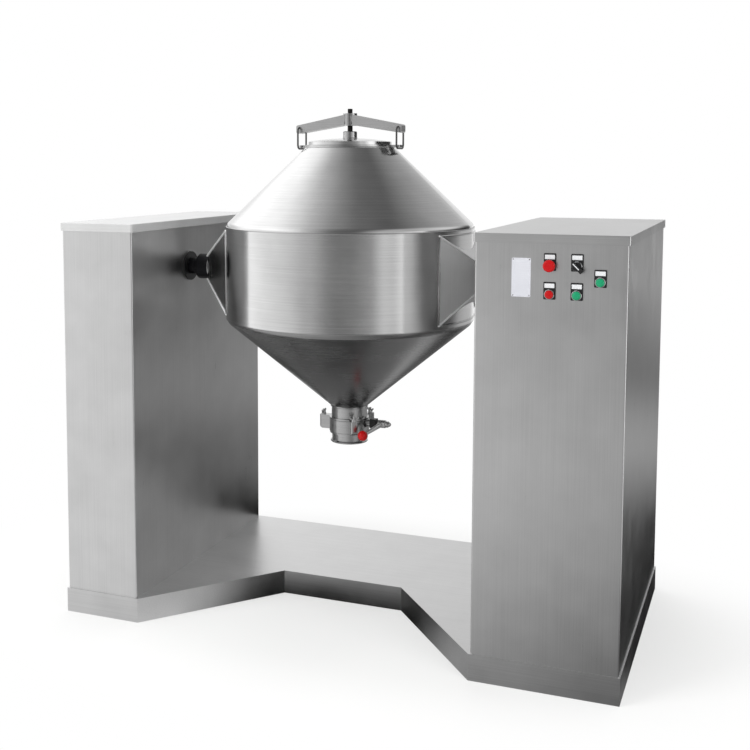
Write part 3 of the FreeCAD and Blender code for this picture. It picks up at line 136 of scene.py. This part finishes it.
# The lower cone, with painted shade: a darker, duller copy of the vessel's polished steel that stands in for the
# shade it mirrors from below, with its rings still faintly there
lathe_ground = finish("stainless_lathe_painted_shade", ("#8C8C8C", "#A0A0A0"), 1.0, (0.22, 0.30),
                      (300, 300, 2.5), 0.006, 0.4)
# The right bracket's folded sheet, with painted light: a milky, less mirroring copy of the bracket sheet, softer
# than the barrel, so that its face reads lit
sheet_brushed = finish("stainless_sheet_painted_light", ("#CCCCCC", "#DADADA"), 0.5, (0.34, 0.44),
                       (2.5, 2.5, 300), 0.02)
# The left bracket's folded sheet, polished, with painted shade: its base colour is darker than the steel so that it
# reads as dark as the shaded side of the pedestal that it mirrors
sheet_polished = finish("stainless_sheet_painted_shade", ("#A4A4A4", "#BABABA"), 1.0, (0.2, 0.3),
                        (2.5, 2.5, 300), 0.02)
# Corner welds with a painted highlight: pale, soft and matt beside the sheet, so that the bracket edges show bright
# lines
ground_weld = finish("stainless_weld_painted_highlight", ("#DADADA", "#ECECEC"), 0.4, (0.36, 0.5), (1.5, 1.5, 6), 0.03)
# Turned and polished fittings with fine turning marks, and painted shade: their steel is darker than the vessel's
# own so that the neck and valve under the vessel read shaded
turned_polish = finish("stainless_turned_painted_shade", ("#A8A8A8", "#C4C4C4"), 1.0, (0.14, 0.26), (60, 60, 1.5), 0.01)
# Folded flat bar, brushed along its length
bar_brushed = finish("stainless_bar_brushed", ("#B9B9B9", "#D0D0D0"), 1.0, (0.30, 0.42), (150, 2, 2), 0.03)
# Hot rolled plate, pickled: dull and slightly mottled
pickled_plate = finish("stainless_pickled", ("#8E8E8B", "#A2A29F"), 1.0, (0.45, 0.6), (12, 12, 12), 0.05)
# Zinc phosphate primer sprayed on welded tube: dull with a fine orange peel
primer = finish("zinc_primer", ("#6C6F71", "#787B7C"), 0.0, (0.55, 0.7), (4, 4, 4), 0.05)
# Stainless screws and nuts, barrel polished: small bright glints
fastener_steel = finish("stainless_fastener", ("#B4B4B4", "#CFCFCF"), 1.0, (0.18, 0.3), (3, 3, 3), 0.02)
# Blackened steel, oiled: a dark satin metal
blackened = finish("blackened_steel", ("#17171A", "#232326"), 0.7, (0.28, 0.42), (20, 2, 2), 0.02)
# Blackened screw, greased in the thread: brownish black with soft glints
black_thread = finish("blackened_thread", ("#1E1D1C", "#2E2C2A"), 0.8, (0.25, 0.4), (4, 4, 2), 0.02)
# Spring steel wire, drawn: grey with marks along the wire
drawn_wire = finish("drawn_spring_wire", ("#5C5C5C", "#767675"), 1.0, (0.22, 0.36), (1.5, 1.5, 40), 0.02)
# Silicone rubber, moulded: milky and soft
silicone = finish("silicone_rubber", ("#DAD8D0", "#E4E2DB"), 0.0, (0.42, 0.55), (3, 3, 3), 0.03)
# Polyamide, moulded in a spark eroded tool: black with a fine matt texture
black_nylon = finish("black_polyamide", ("#111112", "#1C1C1D"), 0.0, (0.36, 0.5), (1, 1, 1), 0.04)
# Phenolic resin and acrylic heads, moulded: glossy red
red_moulded = finish("red_moulded", ("#A80A0E", "#B60F12"), 0.0, (0.16, 0.26), (8, 8, 8), 0.01, shine=0.3)
# Polycarbonate head, moulded: glossy green
green_moulded = finish("green_polycarbonate", ("#14855A", "#1C9668"), 0.0, (0.14, 0.24),
                       (8, 8, 8), 0.01, shine=0.4)
# Label insert, matt white laminate
white_laminate = finish("white_laminate", ("#D2D3D5", "#DCDDDF"), 0.0, (0.38, 0.5), (2, 2, 2), 0.01)
# Chrome plated brass ring: the brightest and sharpest mirror
chrome = finish("chrome_plate", ("#D2D3D4", "#E0E1E2"), 1.0, (0.06, 0.14), (6, 6, 6), 0.005)
# Aluminium plate, clear anodised and brushed across: pale with a faint blue cast
plate_metal = finish("anodised_plate", ("#D6D7DE", "#E2E3E9"), 0.35, (0.34, 0.46), (60, 2, 1.5), 0.01)
# Cast iron, enamelled: the sand mould's roughness shows through the paint
cast_enamel = finish("cast_iron_enamel", ("#3E5562", "#4A6270"), 0.0, (0.32, 0.5), (2.5, 2.5, 2.5), 0.25)
# Aluminium gear case and motor, sprayed grey enamel: even and half gloss
case_enamel = finish("case_enamel", ("#5E6C75", "#6A7982"), 0.0, (0.34, 0.46), (3, 3, 3), 0.12)
# Bearing steel, ground: bright with fine rings
ground_steel = finish("ground_bearing_steel", ("#A8A9AA", "#BFC0C0"), 1.0, (0.16, 0.26), (1.5, 20, 20), 0.005)
# Hot dip zinc on sheet: spangle about 12 mm across
spangle = finish("zinc_spangle", ("#9BA1A5", "#B9BEC1"), 0.9, (0.34, 0.52), (12, 12, 12), 0.01, cells=True)
# ABS housings of the control gear, moulded: light grey, matt
grey_abs = finish("grey_abs", ("#BFC3C3", "#CBCFCE"), 0.0, (0.4, 0.52), (1.5, 1.5, 1.5), 0.04)

FINISHES = {
    satin_upright: ("left_pedestal_housing", "right_pedestal_housing", "left_rear_panel", "right_rear_panel"),
    satin_level: ("base_plinth", "right_top_cover"),
    satin_cover: ("left_top_cover",),
    lathe_polish: ("barrel_band", "upper_cone", "lid"),
    lathe_ground: ("lower_cone",),
    sheet_brushed: ("right_trunnion_bracket",),
    sheet_polished: ("left_trunnion_bracket",),
    turned_polish: ("mouth_ring", "clamp_foot", "clamp_hub", "outlet_neck", "valve_body", "valve_disc",
                    "discharge_spout"),
    bar_brushed: ("clamp_beam", "valve_lever"),
    pickled_plate: ("base_bottom_plate",),
    primer: ("base_frame", "bearing_stands"),
    fastener_steel: ("panel_screws", "valve_studs", "wing_nuts", "mounting_bolts"),
    blackened: ("left_trunnion_shaft", "right_trunnion_shaft"),
    black_thread: ("clamp_screw",),
    drawn_wire: ("left_bail", "right_bail"),
    silicone: ("lid_gasket", "valve_seat"),
    black_nylon: ("valve_notch_plate", "shaft_wall_rings", "switch_holders", "switch_bodies", "selector_knob"),
    red_moulded: ("lever_knob", "stop_button", "red_button"),
    green_moulded: ("green_button", "jog_button"),
    white_laminate: ("label_inserts", "selector_pointer"),
    chrome: ("switch_bezels",),
    plate_metal: ("nameplate",),
    cast_enamel: ("left_bearing_housing", "right_bearing_housing"),
    ground_steel: ("bearing_outer_rings", "bearing_inner_rings"),
    case_enamel: ("gearbox", "drive_motor", "motor_fan_cowl", "motor_terminal_box"),
    spangle: ("control_mounting_plate",),
    grey_abs: ("control_gear",),
}
for material, names in FINISHES.items():
    for name in names:
        for slot in nodes[name].material_slots:
            slot.material = material


def placed(name, shape, material):
    """Makes an object of a finished bmesh, puts it in the scene and gives it its finish."""
    mesh = bpy.data.meshes.new(name)
    shape.to_mesh(mesh)
    shape.free()
    made = bpy.data.objects.new(name, mesh)
    bpy.context.scene.collection.objects.link(made)
    mesh.materials.append(material)
    return made


def piece(name, shape, material, body):
    """A piece of the machine that rides on a body."""
    made = placed(name, shape, material)
    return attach(made, body)


def closed_up(shape):
    """Merges the doubles and turns every face outwards."""
    bmesh.ops.remove_doubles(shape, verts=shape.verts[:], dist=0.005 * MM)
    bmesh.ops.recalc_face_normals(shape, faces=shape.faces[:])
    for face in shape.faces:
        face.smooth = True
    return shape


def crisp(made, angle=35.0):
    """Keeps the edges sharper than this angle sharp."""
    limit = math.radians(angle)
    shape = bmesh.new()
    shape.from_mesh(made.data)
    for edge in shape.edges:
        edge.smooth = len(edge.link_faces) == 2 and edge.calc_face_angle(0.0) < limit
    shape.to_mesh(made.data)
    shape.free()
    return made


def turned(shape, outline, centre, axis, steps, closed=False):
    """Turns an outline of (radius, place along the axis) points into a round solid or ring, in mm."""
    centre = Vector(centre) * MM
    side = Vector((1, 0, 0)) if abs(axis.z) > 0.5 else Vector((0, 0, 1))
    spots = [shape.verts.new(centre + (side * radius + axis * along) * MM) for radius, along in outline]
    lines = [shape.edges.new(pair) for pair in zip(spots, spots[1:])]
    if closed:
        lines.append(shape.edges.new((spots[-1], spots[0])))
    bmesh.ops.spin(shape, geom=spots + lines, cent=centre, axis=axis, angle=2 * math.pi, steps=steps,
                   use_merge=True)


def bead_outline(radius, along, thick, flat=1.0):
    """Section of a weld bead as eight points. Flat is its height as a share of its width."""
    return [(radius + thick * flat * math.cos(turn), along + thick * math.sin(turn))
            for turn in [math.pi * i / 4 for i in range(8)]]


def bar(shape, start, end, radius, domed=False):
    """A round bar between two points, in mm, with flat or domed ends."""
    start, end = Vector(start) * MM, Vector(end) * MM
    turn = (end - start).to_track_quat("Z", "Y").to_matrix().to_4x4()
    bmesh.ops.create_cone(shape, cap_ends=True, segments=16, radius1=radius * MM, radius2=radius * MM,
                          depth=(end - start).length, matrix=Matrix.Translation((start + end) / 2) @ turn)
    for place in (start, end) if domed else ():
        bmesh.ops.create_uvsphere(shape, u_segments=16, v_segments=8, radius=radius * MM,
                                  matrix=Matrix.Translation(place) @ turn)


def rounded_off(shape, edges, width):
    """Rounds edges off by a width in mm."""
    bmesh.ops.bevel(shape, geom=edges, offset=width * MM, offset_type="OFFSET", segments=2, profile=0.5,
                    affect="EDGES", material=-1)


# Clamp screw: trapezoid thread of 4 mm pitch on a core 16 mm thick, with a square head for the spanner
screw_low, screw_high, head_height, head_side = lid_top + 7.3, lid_top + 81.0, 14.0, 13.0
core_radius, thread_radius, thread_root = 8.0, 8.85, 7.7
pitch, turn_steps = 4.0, 24
shape = bmesh.new()
turned(shape, [(0, screw_low), (core_radius - 1.5, screw_low), (core_radius, screw_low + 1.5),
               (core_radius, screw_high), (0, screw_high)], vessel_foot, UP, 48)
ridge_low, turns = screw_low + pitch, int((screw_high - screw_low - 2 * pitch) / pitch)
ridge = [shape.verts.new(Vector((vessel_x + radius, vessel_y, ridge_low + along)) * MM)
         for radius, along in ((thread_root, -1.2), (thread_radius, -0.6), (thread_radius, 0.6), (thread_root, 1.2))]
flank = shape.faces.new(ridge)
bmesh.ops.spin(shape, geom=[flank] + flank.edges[:] + flank.verts[:], cent=vessel_foot * MM, axis=UP,
               dvec=UP * pitch / turn_steps * MM, angle=2 * math.pi * turns, steps=turns * turn_steps)
head = bmesh.ops.create_cube(shape, size=1.0, matrix=Matrix.Translation(
    (vessel_foot + UP * (screw_high + head_height / 2)) * MM) @ Matrix.Diagonal(
    (head_side * MM, head_side * MM, head_height * MM, 1)))
rounded_off(shape, list({edge for spot in head["verts"] for edge in spot.link_edges}), 1.4)
clamp_screw = crisp(piece("threaded_clamp_screw", closed_up(shape), black_thread, "clamp_screw"))
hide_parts("clamp_screw")

# Weld beads on the vessel, ground and polished with it: nearly flush between barrel and cones, proud at the
# mouth ring, round the neck, where the hubs meet the brackets, and along the brackets' roots and corners
root_bead, corner_bead, hub_bead = 3.2, 3.6, 3.0
bracket_root = math.sqrt(barrel_radius ** 2 - bracket_half ** 2)
swing = math.asin(bracket_half / barrel_radius)
shape, corner_shape = bmesh.new(), bmesh.new()
for radius, z, thick, flat in ((barrel_radius - 0.6, barrel_top, 2.2, 0.45),
                               (barrel_radius - 0.6, barrel_low, 2.2, 0.45),
                               (mouth_radius, cone_top, 2.4, 1.0), (neck_radius, cone_low, 3.0, 1.0)):
    turned(shape, bead_outline(radius, z, thick, flat), vessel_foot, UP, 128, closed=True)
for side, throw in ((-1, left_throw), (1, right_throw)):
    hub_x = side * (barrel_radius + throw)
    turned(shape, bead_outline(hub_radius, hub_x, hub_bead), (vessel_x, vessel_y, axis_z), ALONG, 64, closed=True)
    root_x, tip_x = vessel_x + side * bracket_root, vessel_x + hub_x
    arc_start = Matrix.Rotation(swing if side < 0 else math.pi + swing, 4, "Z")
    for end in (-1, 1):
        root_y, tip_y = vessel_y + end * bracket_half, vessel_y + end * bracket_end
        bar(shape, (root_x, root_y, axis_z - bracket_rise), (root_x, root_y, axis_z + bracket_rise), root_bead)
        for tilt in (-1, 1):
            bar(corner_shape, (root_x, root_y, axis_z + tilt * bracket_rise),
                (tip_x, tip_y, axis_z + tilt * bracket_end), corner_bead, domed=True)
        spots = [shape.verts.new((vessel_foot + arc_start @ Vector((-radius, 0, z))) * MM)
                 for radius, z in bead_outline(barrel_radius, axis_z + end * bracket_rise, root_bead)]
        section = shape.faces.new(spots)
        bmesh.ops.spin(shape, geom=[section] + section.edges[:] + section.verts[:], cent=vessel_foot * MM,
                       axis=UP, angle=-2 * swing, steps=24)
# The ring beads take the turned steel with its painted shade, the corner welds the pale steel with its painted
# highlight
piece("vessel_weld_beads", closed_up(shape), turned_polish, "vessel")
piece("bracket_corner_welds", closed_up(corner_shape), ground_weld, "vessel")

# Small welds of the clamp: the arms on the hub, and the foot on the lid
shape = bmesh.new()
for x in (vessel_x - 11.4, vessel_x + 11.4):
    for y in (vessel_y - 20.0, vessel_y + 20.0):
        bar(shape, (x, y, lid_top + 44.0), (x, y, lid_top + 77.0), 2.0)
piece("beam_weld_beads", closed_up(shape), turned_polish, "vessel")
shape = bmesh.new()
turned(shape, bead_outline(23.5, lid_top - 0.3, 2.0), vessel_foot, UP, 128, closed=True)
piece("foot_weld_bead", closed_up(shape), turned_polish, "lid_assembly")

# Cap nut that holds the lever on the end of the stem: a hexagon with a dome
nut_radius, nut_thick, nut_middle, sharp_edge = 11.0, 8.0, 133.2, 0.8
shape = bmesh.new()
bmesh.ops.create_cone(shape, cap_ends=True, segments=6, radius1=nut_radius * MM, radius2=nut_radius * MM,
                      depth=nut_thick * MM,
                      matrix=Matrix.Translation(Vector((vessel_x + nut_middle, vessel_y, stem_z)) * MM)
                      @ Matrix.Rotation(math.pi / 2, 4, "Y"))
turned(shape, [(0, 146.0), (3.4, 145.2), (6.4, 142.6), (8.0, 138.6), (8.2, 134.0), (0, 134.0)],
       (vessel_x, vessel_y, stem_z), ALONG, 32)
rounded_off(shape, [edge for edge in shape.edges if edge.calc_face_angle(0.0) > sharp_edge], 0.8)
crisp(piece("lever_nut", closed_up(shape), fastener_steel, "valve_handle"))

# Push button heads, rounder and wider than their guides, and thin bright rings round them
HEAD_OUTLINE = [(0, 12.0), (6.0, 11.9), (9.0, 11.2), (10.8, 10.0), (11.6, 8.2), (11.6, 4.4), (9.0, 4.3),
                (9.0, -1.4), (5.0, -1.4), (5.0, -17.0), (0, -17.0)]
RING_OUTLINE = [(11.9, 0), (14.0, 0), (14.0, 3.6), (13.0, 5.0), (12.3, 5.0), (11.9, 4.6)]
for name, material, slot in (("red_button", red_moulded, "red_plastic"),
                             ("green_button", green_moulded, "green_plastic"),
                             ("jog_button", green_moulded, "green_plastic")):
    x, z = CONTROLS[name]
    shape = bmesh.new()
    turned(shape, HEAD_OUTLINE, (x, panel_face, z), OUT, 48)
    made = crisp(piece(name + "_head", closed_up(shape), material, name))
    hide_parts(name)
shape = bmesh.new()
for x, z in CONTROLS.values():
    turned(shape, RING_OUTLINE, (x, panel_face, z), OUT, 48, closed=True)
bezels = crisp(piece("bezel_rings", closed_up(shape), chrome, "stand"))
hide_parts("switch_bezels")

# Four round-headed rivets of the plate
shape = bmesh.new()
for x in (plate_x - 22.5, plate_x + 22.5):
    for z in (plate_z - 50.0, plate_z + 50.0):
        turned(shape, [(0, 1.1), (1.1, 0.9), (1.9, 0.3), (2.1, -0.2), (0, -0.2)], (x, plate_face, z), OUT, 16)
piece("plate_rivets", closed_up(shape), fastener_steel, "stand")


# Studio: one pale floor, soft boxes, and a room and a sheet of painted floor shade that only the polished steel
# mirrors
def ray_is(tree, *kinds):
    """1 where the ray is of one of these kinds."""
    path = add(tree, "ShaderNodeLightPath")
    value = path.outputs[kinds[0]]
    for kind in kinds[1:]:
        value = add(tree, "ShaderNodeMath", {0: value, 1: path.outputs[kind]}, operation="MAXIMUM").outputs["Value"]
    return value


def stage_piece(name, shape, material, mirrored_only=False):
    """A studio surface made of a finished bmesh. A mirrored one shows in reflections alone."""
    made = placed(name, shape, material)
    if mirrored_only:
        made.visible_camera = False
        made.visible_diffuse = False
        made.visible_transmission = False
        made.visible_shadow = False


def ramp(tree, value, stops):
    """A colour ramp of grey levels over (place, level) stops."""
    made = add(tree, "ShaderNodeValToRGB", {"Fac": value})
    elements = made.color_ramp.elements
    elements[0].position, elements[1].position = stops[0][0], stops[-1][0]
    for place, level in stops[1:-1]:
        elements.new(place).color = (level, level, level, 1.0)
    for element, (place, level) in ((elements[0], stops[0]), (elements[-1], stops[-1])):
        element.color = (level, level, level, 1.0)
    return made.outputs["Color"]


world = bpy.data.worlds.new("studio_world")
bpy.context.scene.world = world
world.use_nodes = True
world.node_tree.nodes.clear()
seen = ray_is(world.node_tree, "Is Camera Ray", "Is Glossy Ray", "Is Transmission Ray")
room = add(world.node_tree, "ShaderNodeBackground", {"Color": linear("#F4F5F6"), "Strength": 0.75})
backdrop = add(world.node_tree, "ShaderNodeBackground", {"Color": (1, 1, 1, 1), "Strength": 1.0})
sky = add(world.node_tree, "ShaderNodeMixShader",
          {0: seen, 1: room.outputs["Background"], 2: backdrop.outputs["Background"]})
add(world.node_tree, "ShaderNodeOutputWorld", {"Surface": sky.outputs["Shader"]})

# Studio room, seen in the steel alone: grey walls with white boxes to the left and right, a ceiling
# that darkens to the right. Wall levels go by compass bearing in degrees from the back, by the right,
# and ceiling levels by how far a direction leans to the right.
WALLS = ((-180, 0.3), (-174, 0.42), (-166, 0.56), (-160, 0.6), (-145, 0.86), (-120, 1.1), (-100, 1.4), (-84, 1.5),
         (-70, 0.9), (-60, 0.8), (-34, 1.05), (-9, 0.95), (0, 1.0), (9, 1.0), (18, 0.08), (33, 0.03), (48, 0.05),
         (64, 0.07), (73, 0.03), (84, 0.04), (91, 1.55), (104, 1.65), (121, 0.72), (131, 0.85), (141, 0.4),
         (158, 0.24), (172, 0.23), (180, 0.3))
CEILING = ((-0.75, 1.7), (-0.53, 1.35), (-0.31, 0.68), (-0.1, 0.36), (0.05, 0.2), (0.25, 0.14), (0.4, 0.16),
           (0.65, 0.6))
BRIGHTEST = 1.7


def wall_level(tree, parts):
    """Level of the walls at the compass bearing of a place."""
    bearing = add(tree, "ShaderNodeMath", {0: parts["X"], 1: parts["Y"]}, operation="ARCTAN2").outputs["Value"]
    round_room = add(tree, "ShaderNodeMapRange",
                     {"Value": bearing, "From Min": -math.pi, "From Max": math.pi}).outputs["Result"]
    return ramp(tree, round_room, [((degrees + 180) / 360, level / BRIGHTEST) for degrees, level in WALLS])


room_paint, tree = blank_material("studio_room")
place = add(tree, "ShaderNodeTexCoord").outputs["Object"]
heading = add(tree, "ShaderNodeVectorMath", {0: place}, operation="NORMALIZE").outputs["Vector"]
parts = add(tree, "ShaderNodeSeparateXYZ", {"Vector": heading}).outputs
walls = wall_level(tree, parts)
across = add(tree, "ShaderNodeMapRange", {"Value": parts["X"], "From Min": -1.0}).outputs["Result"]
overhead = ramp(tree, across, [((lean + 1) / 2, level / BRIGHTEST) for lean, level in CEILING])
# A pale strip crosses the ceiling at the back right
behind = add(tree, "ShaderNodeVectorMath", {0: heading, 1: (0.5, 0.85, 0.0)},
             operation="DOT_PRODUCT").outputs["Value"]
strip = add(tree, "ShaderNodeMapRange", {"Value": behind, "From Min": 0.3, "From Max": 0.85,
                                         "To Min": 0.0, "To Max": 0.45 / BRIGHTEST}).outputs["Result"]
overhead = add(tree, "ShaderNodeMath", {0: overhead, 1: strip}, operation="ADD").outputs["Value"]
rise = add(tree, "ShaderNodeMapRange", {"Value": parts["Z"], "From Min": 0.25, "From Max": 0.5},
           interpolation_type="SMOOTHSTEP").outputs["Result"]
level = add(tree, "ShaderNodeMix", {"Factor": rise, "A": walls, "B": overhead}, data_type="RGBA").outputs[2]
glow = add(tree, "ShaderNodeEmission", {"Color": level, "Strength": BRIGHTEST})
add(tree, "ShaderNodeOutputMaterial", {"Surface": glow.outputs["Emission"]})
shape = bmesh.new()
bmesh.ops.create_uvsphere(shape, u_segments=48, v_segments=24, radius=12.0)
stage_piece("studio_room", shape, room_paint, mirrored_only=True)

# Pale floor with a fine grit
floor_paint, tree = blank_material("pale_studio_floor")
place = add(tree, "ShaderNodeTexCoord").outputs["Object"]
oval = add(tree, "ShaderNodeVectorMath", {0: place, 1: (1.0, 1.7, 1.0)}, operation="MULTIPLY").outputs["Vector"]
away = add(tree, "ShaderNodeVectorMath", {0: oval}, operation="LENGTH").outputs["Value"]
grit = add(tree, "ShaderNodeTexNoise", {"Vector": place, "Scale": 40.0}).outputs["Fac"]
rough_grit = add(tree, "ShaderNodeBump", {"Height": grit, "Distance": 0.2 * MM, "Strength": 0.3})
matt = add(tree, "ShaderNodeBsdfDiffuse", {"Color": linear("#F3F3F1"), "Normal": rough_grit.outputs["Normal"]})
white = add(tree, "ShaderNodeEmission", {"Color": (1, 1, 1, 1), "Strength": 1.0})
# The floor keeps the shadow near the machine and fades into the white backdrop further out
fade = add(tree, "ShaderNodeMapRange", {"Value": away, "From Min": 0.9, "From Max": 1.7, "To Min": 0.45},
           interpolation_type="SMOOTHSTEP").outputs["Result"]
shown = ray_is(tree, "Is Camera Ray", "Is Glossy Ray", "Is Transmission Ray")
share = add(tree, "ShaderNodeMath", {0: fade, 1: shown}, operation="MULTIPLY").outputs["Value"]
ground = add(tree, "ShaderNodeMixShader", {0: share, 1: matt.outputs["BSDF"], 2: white.outputs["Emission"]})
add(tree, "ShaderNodeOutputMaterial", {"Surface": ground.outputs["Shader"]})
shape = bmesh.new()
bmesh.ops.create_circle(shape, cap_ends=True, segments=96, radius=14.0)
stage_piece("studio_floor", shape, floor_paint)

# Sheet on the studio floor with painted shade and light, seen in the steel alone: black under the machine where the
# floor lies in its shade, lighter behind it to the right, lighter towards the front left and far to the right, with
# one pale spot at the back, and as light as the wall behind it further out
cloth_paint, tree = blank_material("studio_painted_floor_shade")
place = add(tree, "ShaderNodeTexCoord").outputs["Object"]
parts = add(tree, "ShaderNodeSeparateXYZ", {"Vector": place}).outputs
walls = wall_level(tree, parts)
away = add(tree, "ShaderNodeVectorMath", {0: place}, operation="LENGTH").outputs["Value"]
# In front and further out the level slants up to the front left
slant = add(tree, "ShaderNodeVectorMath", {0: place, 1: (-0.33, -0.15, 0.0)},
            operation="DOT_PRODUCT").outputs["Value"]
slanted = add(tree, "ShaderNodeMapRange", {"Value": slant, "From Min": -0.38, "From Max": 0.42,
                                           "To Min": 0.0, "To Max": 0.8 / BRIGHTEST}).outputs["Result"]
# Close behind the machine there is one lighter spot on black
rear = add(tree, "ShaderNodeVectorMath", {0: place, 1: (0.34, 0.66, 0.0)}, operation="DISTANCE").outputs["Value"]
under = add(tree, "ShaderNodeMapRange", {"Value": rear, "From Min": 0.55, "From Max": 0.1,
                                         "To Min": 0.0, "To Max": 0.75 / BRIGHTEST}).outputs["Result"]
# Near the machine, away from its front, the sheet stays black: painted shade of the floor under the machine
front = add(tree, "ShaderNodeMapRange", {"Value": parts["Y"], "From Min": -0.12, "From Max": -0.4},
            interpolation_type="SMOOTHSTEP").outputs["Result"]
clear = add(tree, "ShaderNodeMapRange", {"Value": away, "From Min": 0.9, "From Max": 1.6},
            interpolation_type="SMOOTHSTEP").outputs["Result"]
clear = add(tree, "ShaderNodeMath", {0: clear, 1: front}, operation="MAXIMUM").outputs["Value"]
near = add(tree, "ShaderNodeMix", {"Factor": clear, "A": under, "B": slanted}).outputs["Result"]
spot = add(tree, "ShaderNodeVectorMath", {0: place, 1: (1.5, 2.9, 0.0)}, operation="DISTANCE").outputs["Value"]
pale = add(tree, "ShaderNodeMapRange", {"Value": spot, "From Min": 1.7, "From Max": 0.5,
                                        "To Min": 0.0, "To Max": 0.4 / BRIGHTEST}).outputs["Result"]
near = add(tree, "ShaderNodeMath", {0: near, 1: pale}, operation="ADD").outputs["Value"]
right = add(tree, "ShaderNodeMapRange", {"Value": parts["X"], "From Min": 1.3, "From Max": 2.0,
                                         "To Min": 0.0, "To Max": 0.5 / BRIGHTEST}).outputs["Result"]
near = add(tree, "ShaderNodeMath", {0: near, 1: right}, operation="ADD").outputs["Value"]
outer = add(tree, "ShaderNodeMapRange", {"Value": away, "From Min": 1.0, "From Max": 7.0},
            interpolation_type="SMOOTHSTEP").outputs["Result"]
level = add(tree, "ShaderNodeMix", {"Factor": outer, "A": near, "B": walls}, data_type="RGBA").outputs[2]
glow = add(tree, "ShaderNodeEmission", {"Color": level, "Strength": BRIGHTEST})
add(tree, "ShaderNodeOutputMaterial", {"Surface": glow.outputs["Emission"]})
shape = bmesh.new()
bmesh.ops.create_circle(shape, cap_ends=True, segments=96, radius=11.5,
                        matrix=Matrix.Translation((0, 0, 0.6 * MM)))
stage_piece("studio_painted_floor_shade", shape, cloth_paint, mirrored_only=True)

# Soft boxes, each with its place, the height that it aims at above the middle, its size in metres and its watts
for name, place, aim, (width, height), watts in (
        ("key_box", (-2.6, -3.6, 3.6), 0.9, (2.4, 2.4), 150),
        ("fill_box", (3.8, -2.4, 2.4), 0.9, (1.6, 2.6), 50),
        ("top_box", (0.0, 0.6, 4.6), 1.0, (2.6, 2.0), 70)):
    lamp = bpy.data.lights.new(name, "AREA")
    lamp.shape = "RECTANGLE"
    lamp.size, lamp.size_y, lamp.energy = width, height, watts
    box = bpy.data.objects.new(name, lamp)
    box.location = place
    box.rotation_euler = (UP * aim - Vector(place)).to_track_quat("-Z", "Y").to_euler()
    box.visible_glossy = False
    bpy.context.scene.collection.objects.link(box)

# The photo's camera, fitted to the corners of the pedestals and the base
camera = bpy.data.cameras.new("photo_camera")
camera.sensor_width = 36.0
camera.lens = 54.77
camera.shift_x, camera.shift_y = 0.0787, -0.1457
camera.clip_end = 60.0
photo_camera = bpy.data.objects.new("photo_camera", camera)
photo_camera.location = (1.2657, -3.5892, 1.4961)
photo_camera.rotation_euler = (math.radians(90 - 5.193), 0.0, math.radians(22.168))
bpy.context.scene.collection.objects.link(photo_camera)
bpy.context.scene.camera = photo_camera
bpy.context.scene.view_settings.view_transform = "Standard"
